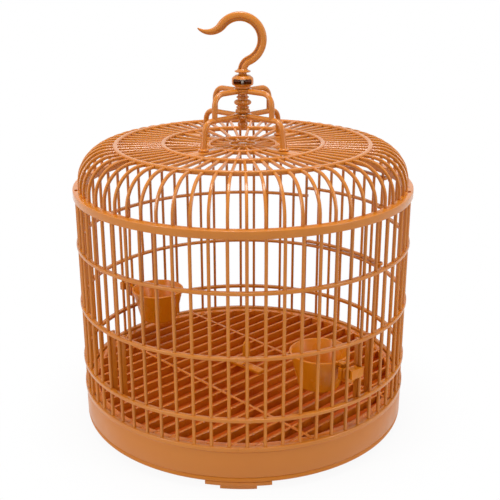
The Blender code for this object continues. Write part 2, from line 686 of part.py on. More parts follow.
def dome_shoulder(name, number):
    """A stretch of the hoop, grooved below for the wall's top rail, with its ribs and outer roof ring."""
    sweep = 2 * math.pi / SHOULDER_COUNT
    gap = TOUCH_GAP / 2 / HOOP_RADIUS
    start = number * sweep + gap
    steps = ROD_COUNT // SHOULDER_COUNT
    base = bmesh.new()
    groove_inner = RAIL_INNER - 2 * TOUCH_GAP
    groove_outer = RAIL_RADIUS - TOP_RAIL_INSET + 2 * TOUCH_GAP
    groove_top = HOOP_Z + HOOP_GROOVE_DEPTH
    hoop = [
        (HOOP_RADIUS - HOOP_WIDTH, HOOP_Z), (groove_inner, HOOP_Z), (groove_inner, groove_top),
        (groove_outer, groove_top), (groove_outer, HOOP_Z), (HOOP_RADIUS, HOOP_Z),
        (HOOP_RADIUS, HOOP_TOP), (HOOP_RADIUS - HOOP_WIDTH, HOOP_TOP),
    ]
    add_turned(base, hoop, start, sweep - 2 * gap, steps)
    roof_ring(base, OUTER_RING_RADIUS, start, sweep - 2 * gap, steps // 2)
    rib_end = (RIB_FOOT_RADIUS, HOOP_TOP - HOOP_HEIGHT / 3)
    rib_path = [(OUTER_RING_RADIUS, RIB_Z)] + shoulder_path(math.pi / 2, 0) + [rib_end]
    rib = thickened(rib_path, RIB_DEPTH)
    ribs = bmesh.new()
    cuts = bmesh.new()
    for count in range(2 * ROD_COUNT):
        azimuth = rod_azimuth(count)
        if not start < azimuth < start + sweep:
            continue
        if count % 2:
            add_plate(ribs, rib, RIB_WIDTH, azimuth)
        if count in HOOP_SLOT_RIBS:
            slot_outer = HOOP_RADIUS - HOOP_SLOT_INSET
            add_radial_box(
                cuts, azimuth, slot_outer - HOOP_SLOT_WIDTH, slot_outer, HOOP_SLOT_LENGTH,
                HOOP_TOP - HOOP_SLOT_DEPTH, HOOP_TOP + OVERRUN,
            )
    shoulder = as_object(name, base, "cane", smooth=True)
    combine(shoulder, as_object(f"{name}_ribs", ribs))
    if cuts.verts:
        combine(shoulder, as_object(f"{name}_cuts", cuts), "DIFFERENCE")
    return shoulder


def dome_roof():
    """The grille inside the outer roof ring, a little lower at its middle, with the claw's four pads."""
    base = bmesh.new()
    roof_ring(base, MIDDLE_RING_RADIUS)
    roof_ring(base, INNER_RING_RADIUS, drop=CENTRE_DROP)
    hub_top = ROOF_TOP + RING_STAND - CENTRE_DROP
    add_cylinder(base, HUB_RADIUS, hub_top - RING_STAND - HUB_THICKNESS, hub_top, sides=ARM_SIDES * 2)
    joint = RING_THICKNESS / 8
    ribs = bmesh.new()
    low, high = RIB_Z - RIB_DEPTH / 2, RIB_Z + RIB_DEPTH / 2
    reach = (OUTER_RING_RADIUS - RING_THICKNESS / 2) * math.cos(STEP) - TOUCH_GAP
    long = rectangle(MIDDLE_RING_RADIUS + joint, reach, low, high)
    short = [
        (INNER_RING_RADIUS + joint, low - CENTRE_DROP), (MIDDLE_RING_RADIUS - joint, low),
        (MIDDLE_RING_RADIUS - joint, high), (INNER_RING_RADIUS + joint, high - CENTRE_DROP),
    ]
    hub_joint = HUB_RADIUS * HUB_JOINT_SHARE
    shortest = rectangle(hub_joint, INNER_RING_RADIUS - joint, low - CENTRE_DROP, high - CENTRE_DROP)
    for count in range(1, 2 * ROD_COUNT, 2):
        add_plate(ribs, long, RIB_WIDTH, rod_azimuth(count))
    for count in range(3, 2 * ROD_COUNT, 4):
        add_plate(ribs, short, RIB_WIDTH, rod_azimuth(count))
    for count in range(5, 2 * ROD_COUNT, 8):
        add_plate(ribs, shortest, INNER_RIB_WIDTH, rod_azimuth(count))
    pads = bmesh.new()
    cuts = bmesh.new()
    for count in PAD_COUNTS:
        pad = rectangle(INNER_RING_RADIUS, MIDDLE_RING_RADIUS, PAD_TOP - PAD_THICKNESS, PAD_TOP)
        add_plate(pads, pad, PAD_WIDTH, rod_azimuth(count))
        hole = Matrix.Translation(outward(rod_azimuth(count)) * LEG_FOOT_RADIUS)
        peg_hole = PEG_RADIUS + TOUCH_GAP
        add_cylinder(cuts, peg_hole, RIB_Z - RING_THICKNESS, ROOF_TOP + OVERRUN, hole, ARM_SIDES)
    roof = as_object("dome_roof", base, "cane", smooth=True)
    combine(roof, as_object("dome_roof_ribs", ribs))
    combine(roof, as_object("dome_roof_pads", pads))
    return combine(roof, as_object("dome_roof_cuts", cuts), "DIFFERENCE")


# Claw, spindle and finial

def hub_outline(reach, half_width):
    """A disc with a square tab on each side along X."""
    corner = math.asin(half_width / HUB_PLATE_RADIUS)
    upper = arc_points((0, 0), HUB_PLATE_RADIUS, corner, math.pi - corner, HUB_ARC_STEPS)
    lower = arc_points((0, 0), HUB_PLATE_RADIUS, math.pi + corner, 2 * math.pi - corner, HUB_ARC_STEPS)
    return [
        (reach, half_width), *upper, (-reach, half_width),
        (-reach, -half_width), *lower, (reach, -half_width),
    ]


def claw_arch(name, azimuth, upper_half):
    """One arch: a lower bow with two legs and a smaller bow above that lands on it."""
    lower_z = LOWER_HUB_Z + HUB_PLATE_HEIGHT / 2
    upper_z = UPPER_HUB_Z + HUB_PLATE_HEIGHT / 2
    hub_edge = HUB_PLATE_RADIUS + 2 * TOUCH_GAP
    foot_z = PAD_TOP + TOUCH_GAP
    lower_bows = bmesh.new()
    upper_bows = bmesh.new()
    feet = bmesh.new()
    bend = LOWER_BOW_BEND
    corner = (LEG_TOP_RADIUS - bend, lower_z - bend)
    path = [(hub_edge, lower_z)] + list(arc_points(corner, bend, math.pi / 2, 0, BEND_STEPS))
    path.append((LEG_FOOT_RADIUS, foot_z + CLAW_FOOT_HEIGHT / 2))
    sizes = [ARM_THICKNESS] * (len(path) - 1) + [LEG_THICKNESS]
    rise = UPPER_BOW_BEND
    upper_corner = (UPPER_BOW_RADIUS - rise, upper_z - rise)
    upper_path = [(hub_edge, upper_z)] + list(arc_points(upper_corner, rise, math.pi / 2, 0, BEND_STEPS))
    upper_path.append((UPPER_BOW_RADIUS, lower_z - TOUCH_GAP))
    upper_sizes = [ARM_THICKNESS] * len(upper_path)
    for turn in (0, math.pi):
        add_tube(lower_bows, path, sizes, azimuth + turn)
        add_tube(upper_bows, upper_path, upper_sizes, azimuth + turn)
        spot = Matrix.Translation(outward(azimuth + turn) * LEG_FOOT_RADIUS)
        add_lathe(feet, [
            (0, PAD_TOP - PAD_THICKNESS), (PEG_RADIUS, PAD_TOP - PAD_THICKNESS), (PEG_RADIUS, foot_z),
            (CLAW_FOOT_RADIUS, foot_z), (CLAW_FOOT_RADIUS, foot_z + CLAW_FOOT_HEIGHT / 2),
            (CLAW_FOOT_NECK_RADIUS, foot_z + CLAW_FOOT_HEIGHT), (0, foot_z + CLAW_FOOT_HEIGHT),
        ], sides=ARM_SIDES * 2, place=spot)
    plates = bmesh.new()
    outline = hub_outline(hub_edge + ARM_THICKNESS / 2, ARM_THICKNESS / 2 - TOUCH_GAP)
    turn = around(azimuth + math.pi / 2)
    half_plate = (HUB_PLATE_HEIGHT - TOUCH_GAP) / 2
    for hub_z in (LOWER_HUB_Z, UPPER_HUB_Z):
        low = hub_z + HUB_PLATE_HEIGHT - half_plate if upper_half else hub_z
        add_extruded(plates, outline, low, low + half_plate, turn)
    bores = bmesh.new()
    bore_top = UPPER_HUB_Z + HUB_PLATE_HEIGHT + OVERRUN
    add_cylinder(bores, SPINDLE_BORE_RADIUS, LOWER_HUB_Z - OVERRUN, bore_top)
    arch = as_object(name, lower_bows, "cane", smooth=True)
    combine(arch, as_object(f"{name}_upper", upper_bows))
    combine(arch, as_object(f"{name}_feet", feet))
    combine(arch, as_object(f"{name}_hubs", plates))
    return combine(arch, as_object(f"{name}_bore", bores), "DIFFERENCE")


def spindle():
    """A turned post between the two hubs, with a tenon through each."""
    low = LOWER_HUB_Z + HUB_PLATE_HEIGHT + TOUCH_GAP
    high = UPPER_HUB_Z - TOUCH_GAP
    tenon = SPINDLE_BORE_RADIUS - TENON_CLEARANCE
    length = high - low
    bead_z = low + length * BEAD_PLACE_SHARE
    fillet_low = low + length * LOW_FILLET_SHARE
    fillet_high = low + length * HIGH_FILLET_SHARE
    bm = bmesh.new()
    add_lathe(bm, [
        (0, LOWER_HUB_Z - FINIAL_LENGTH / 2), (tenon, LOWER_HUB_Z - FINIAL_LENGTH / 2), (tenon, low),
        (SPINDLE_NECK_RADIUS, low), (SPINDLE_BODY_RADIUS, low + length / 8),
        (SPINDLE_NECK_RADIUS, fillet_low), (SPINDLE_FILLET_RADIUS, fillet_low),
        (SPINDLE_FILLET_RADIUS, fillet_low + SPINDLE_FILLET_HEIGHT),
        (SPINDLE_NECK_RADIUS, fillet_low + SPINDLE_FILLET_HEIGHT),
        (SPINDLE_NECK_RADIUS, bead_z - SPINDLE_BEAD_HEIGHT / 2),
        (SPINDLE_BEAD_RADIUS, bead_z - SPINDLE_BEAD_HEIGHT / 4),
        (SPINDLE_BEAD_RADIUS, bead_z + SPINDLE_BEAD_HEIGHT / 4),
        (SPINDLE_NECK_RADIUS, bead_z + SPINDLE_BEAD_HEIGHT / 2),
        (SPINDLE_NECK_RADIUS, fillet_high), (SPINDLE_FILLET_RADIUS, fillet_high),
        (SPINDLE_FILLET_RADIUS, fillet_high + SPINDLE_FILLET_HEIGHT),
        (SPINDLE_NECK_RADIUS, fillet_high + SPINDLE_FILLET_HEIGHT),
        (SPINDLE_NECK_RADIUS, high), (tenon, high),
        (tenon, HOUSING_Z + HOUSING_LIP_HEIGHT), (0, HOUSING_Z + HOUSING_LIP_HEIGHT),
    ])
    return as_object("spindle", bm, "cane", smooth=True)


def drop_finial():
    top = LOWER_HUB_Z - TOUCH_GAP
    low = top - FINIAL_LENGTH
    socket = SPINDLE_BORE_RADIUS
    depth = FINIAL_LENGTH / 2 + TOUCH_GAP
    bm = bmesh.new()
    add_lathe(bm, [
        (0, low), (FINIAL_TIP_RADIUS, low), (FINIAL_RADIUS, low + FINIAL_LENGTH / 3),
        (FINIAL_RADIUS, low + FINIAL_LENGTH / 2), (FINIAL_NECK_RADIUS, top - FINIAL_LENGTH / 6),
        (FINIAL_NECK_RADIUS + SPINDLE_FILLET_HEIGHT, top), (socket, top),
        (socket, top - depth), (0, top - depth),
    ])
    return as_object("drop_finial", bm, "cane", smooth=True)


# Swivel and hook

def swivel_housing():
    bottom = HOUSING_Z
    top = bottom + HOUSING_HEIGHT
    lip_top = bottom + HOUSING_LIP_HEIGHT
    bm = bmesh.new()
    add_lathe(bm, [
        (0, bottom), (HOUSING_LIP_RADIUS, bottom), (HOUSING_LIP_RADIUS, lip_top - TOUCH_GAP),
        (HOUSING_RADIUS, lip_top + HOUSING_WALL / 2), (HOUSING_RADIUS, top - HOUSING_WALL / 2),
        (HOUSING_RADIUS - HOUSING_WALL / 2, top), (0, top),
    ])
    cuts = bmesh.new()
    window_low = bottom + HOUSING_WINDOW_LIFT
    window_high = window_low + HOUSING_WINDOW_HEIGHT
    width = 2 * (HOUSING_RADIUS - HOUSING_WALL)
    front = 2 * HOUSING_RADIUS
    middle = Matrix.Translation((0, (WINDOW_BACK - front) / 2, (window_low + window_high) / 2))
    add_box(cuts, (width, front + WINDOW_BACK, window_high - window_low), middle)
    shafts = bmesh.new()
    add_cylinder(shafts, PIN_BORE_RADIUS, window_high - TOUCH_GAP, top + OVERRUN)
    add_cylinder(shafts, SPINDLE_BORE_RADIUS, bottom - OVERRUN, bottom + HOUSING_LIP_HEIGHT + TOUCH_GAP)
    housing = as_object("swivel_housing", bm, "cane", smooth=True)
    combine(housing, as_object("swivel_window", cuts), "DIFFERENCE")
    return combine(housing, as_object("swivel_bores", shafts), "DIFFERENCE")


def swivel_pin():
    """A steel pin whose head bears under the housing's roof; its shank is fast in the hook."""
    window_low = HOUSING_Z + HOUSING_WINDOW_LIFT
    head_top = window_low + HOUSING_WINDOW_HEIGHT - TOUCH_GAP
    bm = bmesh.new()
    add_lathe(bm, [
        (0, window_low + TOUCH_GAP), (PIN_RADIUS, window_low + TOUCH_GAP),
        (PIN_RADIUS, head_top - PIN_HEAD_HEIGHT),
        (PIN_HEAD_RADIUS, head_top - PIN_HEAD_HEIGHT), (PIN_HEAD_RADIUS, head_top), (PIN_RADIUS, head_top),
        (PIN_RADIUS, PIN_TOP), (0, PIN_TOP),
    ])
    return as_object("swivel_pin", bm, "steel", smooth=True)


def hook_path():
    """Middle line of the question mark, from the shank round to the tip, as (x, z)."""
    shank_z = HOOK_Z + COLLAR_NECK_HEIGHT + COLLAR_HEIGHT
    curl_z = shank_z - HOOK_CURL_DROP
    back = math.radians(HOOK_RETURN_DEGREES)
    drop = math.radians(HOOK_DROP_DEGREES)
    path = [(0, curl_z - HOOK_CURL_DROP)]
    path += arc_points((HOOK_CURL_RADIUS, curl_z), HOOK_CURL_RADIUS, math.pi, math.pi - back, HOOK_CURL_STEPS)
    x, z = path[-1]
    middle = (x - HOOK_RADIUS * math.cos(back), z + HOOK_RADIUS * math.sin(back))
    path += list(arc_points(middle, HOOK_RADIUS, -back, drop, HOOK_RING_STEPS))[1:]
    x, z = path[-1]
    middle = (x + HOOK_BELLY_RADIUS * math.cos(drop), z + HOOK_BELLY_RADIUS * math.sin(drop))
    tip = math.radians(270 - HOOK_TIP_DEGREES)
    path += list(arc_points(middle, HOOK_BELLY_RADIUS, drop + math.pi, tip, HOOK_TIP_STEPS))[1:]
    return path


def hook():
    """The hook turns on the pin; a collar at its foot rides on the housing."""
    path = hook_path()
    sizes = [HOOK_THICKNESS] * (len(path) - HOOK_TIP_STEPS)
    taper = HOOK_THICKNESS - HOOK_TIP_THICKNESS
    for k in range(HOOK_TIP_STEPS):
        left_share = (HOOK_TIP_STEPS - 1 - k) / HOOK_TIP_STEPS
        sizes.append(HOOK_TIP_THICKNESS + taper * left_share**HOOK_TAPER_POWER)
    curve = bmesh.new()
    add_tube(curve, [(-x, z) for x, z in path], sizes, -math.pi / 2, ARM_SIDES + 2)
    collar = bmesh.new()
    collar_z = HOOK_Z + COLLAR_NECK_HEIGHT
    shank_z = collar_z + COLLAR_HEIGHT
    add_lathe(collar, [
        (0, HOOK_Z), (COLLAR_NECK_RADIUS, HOOK_Z), (COLLAR_NECK_RADIUS, collar_z),
        (COLLAR_RADIUS, collar_z), (COLLAR_RADIUS, collar_z + COLLAR_HEIGHT / 3),
        (HOOK_THICKNESS / 2, shank_z), (0, shank_z),
    ])
    bore = bmesh.new()
    add_cylinder(bore, PIN_RADIUS + TOUCH_GAP, HOOK_Z - OVERRUN, PIN_TOP + TOUCH_GAP)
    body = as_object("hook", curve, "cane", smooth=True)
    combine(body, as_object("hook_collar", collar))
    return combine(body, as_object("hook_bore", bore), "DIFFERENCE")


# Seed cups

def cup(name, azimuth):
    bottom = CUP_RIM_Z - CUP_HEIGHT
    spot = outward(azimuth) * CUP_AXIS_RADIUS
    inner_floor = bottom + CUP_WALL
    shell = bmesh.new()
    add_lathe(shell, [
        (0, bottom), (CUP_BOTTOM_RADIUS, bottom), (CUP_RADIUS, CUP_RIM_Z - CUP_LIP_HEIGHT),
        (CUP_RADIUS + CUP_LIP, CUP_RIM_Z - CUP_LIP_HEIGHT), (CUP_RADIUS + CUP_LIP, CUP_RIM_Z),
        (CUP_RADIUS - CUP_WALL, CUP_RIM_Z), (CUP_BOTTOM_RADIUS - CUP_WALL, inner_floor), (0, inner_floor),
    ], sides=CUP_SIDES, place=Matrix.Translation(spot) @ around(azimuth))
    arm_top = ARM_BOX_Z + ARM_BOX_HEIGHT
    pocket_start = ARM_BOX_START + POCKET_WALL
    leg_inner = pocket_start + TOUCH_GAP
    leg_outer = pocket_start + POCKET_LENGTH - TOUCH_GAP
    wall_middle = CUP_AXIS_RADIUS + CUP_RADIUS - CUP_WALL * CUP_JOINT_SHARE
    tongue_low = arm_top + TOUCH_GAP
    tongue_top = CUP_RIM_Z - TOUCH_GAP
    hanger = bmesh.new()
    add_plate(hanger, [
        (wall_middle, tongue_low), (leg_inner, tongue_low), (leg_inner, arm_top - POCKET_DEPTH + TOUCH_GAP),
        (leg_outer, arm_top - POCKET_DEPTH + TOUCH_GAP), (leg_outer, tongue_top), (wall_middle, tongue_top),
    ], POCKET_WIDTH - 2 * TOUCH_GAP, azimuth)
    body = as_object(name, shell, "cup", smooth=True, origin=spot + Vector((0, 0, bottom)))
    return combine(body, as_object(f"{name}_hanger", hanger))


def cup_arm(name, azimuth):
    """An arm with a pocket for the cup, a neck between two rods, and a cheek on each face of the wall."""
    inner_rod_face = (ROD_RADIUS - ROD_DEPTH / 2) * math.cos(STEP / 2) - 2 * TOUCH_GAP
    outer_rod_face = ROD_RADIUS + ROD_DEPTH / 2 + TOUCH_GAP
    clear = 2 * ROD_RADIUS * math.sin(STEP / 2) - ROD_WIDTH
    half = clear / 2 - 2 * TOUCH_GAP
    block_outer = ROD_RADIUS + ROD_DEPTH / 2 + BLOCK_OUTSIDE
    plate_inner = inner_rod_face - CLAMP_PLATE_THICKNESS
    plan = [
        (-half - BLOCK_CHEEK, -plate_inner), (half, -plate_inner), (half, -outer_rod_face),
        (half + BLOCK_CHEEK, -outer_rod_face), (half + BLOCK_CHEEK, -block_outer), (-half, -block_outer),
        (-half, -inner_rod_face), (-half - BLOCK_CHEEK, -inner_rod_face),
    ]
    neck = bmesh.new()
    add_extruded(neck, plan, BLOCK_Z, BLOCK_Z + BLOCK_HEIGHT, around(azimuth))
    arm = bmesh.new()
    arm_top = ARM_BOX_Z + ARM_BOX_HEIGHT
    add_radial_box(arm, azimuth, ARM_BOX_START, inner_rod_face - TOUCH_GAP, ARM_BOX_WIDTH, ARM_BOX_Z, arm_top)
    cuts = bmesh.new()
    pocket_start = ARM_BOX_START + POCKET_WALL
    pocket_end = pocket_start + POCKET_LENGTH
    pocket_low = arm_top - POCKET_DEPTH
    add_radial_box(cuts, azimuth, pocket_start, pocket_end, POCKET_WIDTH, pocket_low, arm_top + OVERRUN)
    for k in range(GROOVE_COUNT):
        groove_middle = pocket_end + k * GROOVE_PITCH + GROOVE_WIDTH / 2
        for side in (-1, 1):
            middle = Vector((side * ARM_BOX_WIDTH / 2, -groove_middle, ARM_BOX_Z + ARM_BOX_HEIGHT / 2))
            place = around(azimuth) @ Matrix.Translation(middle)
            add_box(cuts, (2 * GROOVE_DEPTH, GROOVE_WIDTH, 2 * ARM_BOX_HEIGHT), place)
    body = as_object(name, arm, "cup", smooth=True)
    combine(body, as_object(f"{name}_neck", neck))
    return combine(body, as_object(f"{name}_cuts", cuts), "DIFFERENCE")


# Greens clip

def clip_place():
    """Frame of the clip: its length along X and its underside on the slats at zero height."""
    spot = Matrix.Translation((CLIP_PLACE_X, -CLIP_PLACE_FORWARD, SLAT_TOP + TOUCH_GAP))
    return spot @ Matrix.Rotation(CLIP_TURN, 4, "Z")


def clip_base():
    place = clip_place()
    plate = bmesh.new()
    middle = Matrix.Translation((0, 0, CLIP_THICKNESS / 2))
    add_box(plate, (CLIP_LENGTH, CLIP_WIDTH, CLIP_THICKNESS), place @ middle)
    ears = bmesh.new()
    ear_middle = (CLIP_WIDTH - CLIP_EAR_WIDTH) / 2
    for side in (-1, 1):
        middle = Matrix.Translation((0, side * ear_middle, CLIP_EAR_HEIGHT / 2 + CLIP_THICKNESS / 2))
        add_box(ears, (CLIP_EAR_LENGTH, CLIP_EAR_WIDTH, CLIP_EAR_HEIGHT + CLIP_THICKNESS), place @ middle)
    bore = bmesh.new()
    across = place @ Matrix.Translation((0, 0, CLIP_PIN_Z)) @ Matrix.Rotation(math.pi / 2, 4, "X")
    add_cylinder(bore, CLIP_PIN_BORE_RADIUS, -CLIP_WIDTH, CLIP_WIDTH, across, ARM_SIDES)
    body = as_object("clip_base", plate, "cup")
    combine(body, as_object("clip_ears", ears))
    return combine(body, as_object("clip_ear_bore", bore), "DIFFERENCE")


def clip_jaw():
    """A toothed loop that stands on the base and folds about the pin."""
    place = clip_place()
    tongue_half = CLIP_WIDTH / 2 - CLIP_EAR_WIDTH - TOUCH_GAP
    tongue = bmesh.new()
    knuckle = CLIP_PIN_Z - CLIP_THICKNESS - TOUCH_GAP
    across = place @ Matrix.Translation((0, 0, CLIP_PIN_Z)) @ Matrix.Rotation(math.pi / 2, 4, "X")
    knuckle_half = tongue_half - TOUCH_GAP
    add_cylinder(tongue, knuckle, -knuckle_half, knuckle_half, across, ARM_SIDES * 2)
    frame = bmesh.new()
    upright = place @ Matrix.Translation((0, 0, CLIP_PIN_Z)) @ Matrix.Rotation(math.pi / 2, 4, "Y")
    half = CLIP_JAW_WIDTH / 2
    ear_top = CLIP_EAR_HEIGHT + CLIP_THICKNESS - CLIP_PIN_Z
    shoulder = math.hypot(CLIP_EAR_LENGTH / 2, ear_top) + TOUCH_GAP
    head = -CLIP_JAW_LENGTH
    crown = list(arc_points((head + half, 0), half, -math.pi / 2, -3 * math.pi / 2, 6))
    outline = [(-shoulder, -half)] + crown + [(-shoulder, half), (-shoulder, tongue_half), (0, tongue_half)]
    outline += [(0, -tongue_half), (-shoulder, -tongue_half)]
    add_extruded(frame, outline, -CLIP_JAW_BAR / 2, CLIP_JAW_BAR / 2, upright)
    cuts = bmesh.new()
    span = CLIP_JAW_LENGTH - shoulder - half - CLIP_JAW_BAR
    pitch = span / CLIP_TOOTH_COUNT
    for k in range(CLIP_TOOTH_COUNT):
        middle = -shoulder - CLIP_JAW_BAR - (k + 0.5) * pitch
        size = (pitch - CLIP_JAW_BAR / 2, CLIP_JAW_WIDTH - 2 * CLIP_JAW_BAR, 2 * CLIP_JAW_BAR)
        add_box(cuts, size, upright @ Matrix.Translation((middle, 0, 0)))
    add_cylinder(cuts, CLIP_PIN_BORE_RADIUS, -CLIP_WIDTH, CLIP_WIDTH, across, ARM_SIDES)
    body = as_object("clip_jaw", frame, "cup", origin=across.translation.copy())
    combine(body, as_object("clip_jaw_knuckle", tongue))
    return combine(body, as_object("clip_jaw_cuts", cuts), "DIFFERENCE")


def clip_pin():
    bm = bmesh.new()
    across = clip_place() @ Matrix.Translation((0, 0, CLIP_PIN_Z)) @ Matrix.Rotation(math.pi / 2, 4, "X")
    add_cylinder(bm, CLIP_PIN_RADIUS, -CLIP_WIDTH / 2, CLIP_WIDTH / 2, across, ARM_SIDES * 2)
    return as_object("clip_pin", bm, "steel", smooth=True)


def main():
    for obj in list(bpy.data.objects):
        bpy.data.objects.remove(obj, do_unlink=True)
    for k in range(FOOT_COUNT):
        foot(f"foot_{k + 1}", 2 * math.pi * k / FOOT_COUNT)
    dung_tray()
    base_band()
    floor_grate()
    wall_half("right", 1)
    wall_half("left", -1)
    door()
    dome_roof()
    for k in range(SHOULDER_COUNT):
        dome_shoulder(f"dome_shoulder_{k + 1}", k)
    claw_arch("claw_arch_a", rod_azimuth(PAD_COUNTS[0]), True)
    claw_arch("claw_arch_b", rod_azimuth(PAD_COUNTS[1]), False)
    spindle()
    drop_finial()
    swivel_housing()
    swivel_pin()
    hook()
    for side, count in CUP_PLACES.items():
        cup(f"cup_{side}", rod_azimuth(count))
        cup_arm(f"cup_arm_{side}", rod_azimuth(count))
    clip_base()
    clip_jaw()
    clip_pin()


main()
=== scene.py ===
"""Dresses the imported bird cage: round moulded canes, softened edges and plastic finishes."""
import math

import bmesh
import bpy
from mathutils import Matrix, Vector

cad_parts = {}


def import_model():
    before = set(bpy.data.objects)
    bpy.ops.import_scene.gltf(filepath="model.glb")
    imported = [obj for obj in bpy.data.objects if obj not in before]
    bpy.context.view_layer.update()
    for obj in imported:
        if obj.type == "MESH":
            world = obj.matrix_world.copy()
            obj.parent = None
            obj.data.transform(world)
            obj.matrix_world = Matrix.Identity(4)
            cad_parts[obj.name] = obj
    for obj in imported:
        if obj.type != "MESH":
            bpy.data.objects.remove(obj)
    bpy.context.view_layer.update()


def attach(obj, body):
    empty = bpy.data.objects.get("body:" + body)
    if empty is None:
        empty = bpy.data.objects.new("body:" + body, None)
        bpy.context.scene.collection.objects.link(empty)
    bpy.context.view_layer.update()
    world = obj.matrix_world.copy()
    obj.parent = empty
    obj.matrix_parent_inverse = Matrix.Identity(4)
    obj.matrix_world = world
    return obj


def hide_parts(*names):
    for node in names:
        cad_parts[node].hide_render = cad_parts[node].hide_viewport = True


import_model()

TAU = 2 * math.pi
RODS = 64
STEP = TAU / RODS
AXIS = (0, 0, 1)
CENTRE = (0, 0, 0)

# Wall: heights above the soles and distances out from the axis, in metres
ROD_LINE = 0.1622
ROD_SIZE = (0.0031, 0.0032)
RAIL_OUT = 0.165
RAIL_IN = 0.1604
RAILS = {"bottom": (0.0395, 0.0439), "low": (0.0688, 0.0724), "middle": (0.1282, 0.1313),
         "high": (0.1880, 0.1911), "top": (0.2383, 0.2413)}
TOP_RAIL_OUT = RAIL_OUT - 0.0014
SEAM_GAP = 0.00006
RIGHT, LEFT = 1, -1
WALL_NODES = {RIGHT: ["wall_right_1", "wall_sill", "wall_lintel",
                      "wall_right_3", "wall_right_4", "wall_right_5", "wall_right_6"],
              LEFT: [f"wall_left_{k}" for k in range(1, 7)]}

# Rods are counted in half steps: from the back seam for the door and the leaning rods, from the front
# seam for the rest
LATCH_ROD, HINGE_ROD = 9, 23
LEANING_RODS = {17: -0.0022, 19: 0.0022}
POST_RODS = (15, 17)
CLAW_COUNTS = (17, 49, 81, 113)
CUP_COUNTS = {"right": 14, "left": -44}

# Door
DOOR_RAILS = ((0.1327, 0.1358), (0.1974, 0.2005), (0.2290, 0.2321))
EYE_IN, EYE_OUT = 0.0029, 0.0046

# Grate
CROSS_BAR = 0.054

# Roof, claw and swivel
ROOF = 0.2833
HOOP = (0.2373, 0.2446)
ROOF_RINGS = ((0.1230, 0.0042, 0), (0.0775, 0.0040, 0), (0.0332, 0.0036, 0.0018))
CENTRE_DROP = 0.0018
CANE_SIZE = 0.003
CLAW_SIZE = 0.0052
PAD_SPOT = 0.05535
FOOT_SPOT = 0.0528
HUBS = (0.3068, 0.3307)
HOUSING = (0.3353, 0.3477)


def around(azimuth):
    return Matrix.Rotation(azimuth, 4, "Z")


def outward(azimuth, radius=1.0, z=0.0):
    return Vector((radius * math.sin(azimuth), -radius * math.cos(azimuth), z))


def rod_at(count):
    """Azimuth of the rod this odd number of half steps from the front seam."""
    return count * STEP / 2


def from_back(count):
    return math.pi - rod_at(count)


# Shapes

def new_verts(bm, before):
    return [v for v in bm.verts if v not in before]


def carry_round(bm, corners, soft=0.0, start=0.0, sweep=TAU, steps=192, segments=3):
    """Carries a section with softened corners round the axis; a part turn is closed at its ends."""
    turn = around(start)
    before = set(bm.faces)
    verts = [bm.verts.new(turn @ Vector((0, -r, z))) for r, z in corners]
    bm.faces.new(verts)
    if soft:
        bmesh.ops.bevel(bm, geom=verts, offset=soft, offset_type="OFFSET", segments=segments, profile=0.5,
                        affect="VERTICES", material=-1)
    face = next(f for f in bm.faces if f not in before)
    loop_verts, loop_edges = list(face.verts), list(face.edges)
    bmesh.ops.delete(bm, geom=[face], context="FACES_ONLY")
    whole = sweep > TAU - STEP / 4
    made = bmesh.ops.spin(bm, geom=loop_verts + loop_edges, cent=CENTRE, axis=AXIS, angle=sweep,
                          steps=steps, use_merge=whole)
    if not whole:
        bmesh.ops.edgeloop_fill(bm, edges=loop_edges)
        last = [e for e in made["geom_last"] if isinstance(e, bmesh.types.BMEdge)]
        bmesh.ops.edgeloop_fill(bm, edges=last)


def turn_piece(bm, profile, sides=48, place=Matrix.Identity(4)):
    """A turned piece whose (r, z) outline starts and ends on its own axis."""
    before = set(bm.verts)
    verts = [bm.verts.new((r, 0, z)) for r, z in profile]
    edges = [bm.edges.new(pair) for pair in zip(verts, verts[1:])]
    bmesh.ops.spin(bm, geom=verts + edges, cent=CENTRE, axis=AXIS, angle=TAU, steps=sides, use_merge=True)
    bmesh.ops.remove_doubles(bm, verts=new_verts(bm, before), dist=1e-6)
    bmesh.ops.transform(bm, matrix=place, verts=new_verts(bm, before))


def smooth_profile(points, rounds=2):
    """Rounds the corners of an open outline by cutting them, keeping its two ends."""
    for _ in range(rounds):
        softer = [points[0]]
        for a, b in zip(points, points[1:]):
            softer.append((a[0] * 0.75 + b[0] * 0.25, a[1] * 0.75 + b[1] * 0.25))
            softer.append((a[0] * 0.25 + b[0] * 0.75, a[1] * 0.25 + b[1] * 0.75))
        points = softer + [points[-1]]
    return points


def arc(centre, radius, start, end, steps):
    for i in range(steps + 1):
        angle = start + (end - start) * i / steps
        yield (centre[0] + radius * math.cos(angle), centre[1] + radius * math.sin(angle))


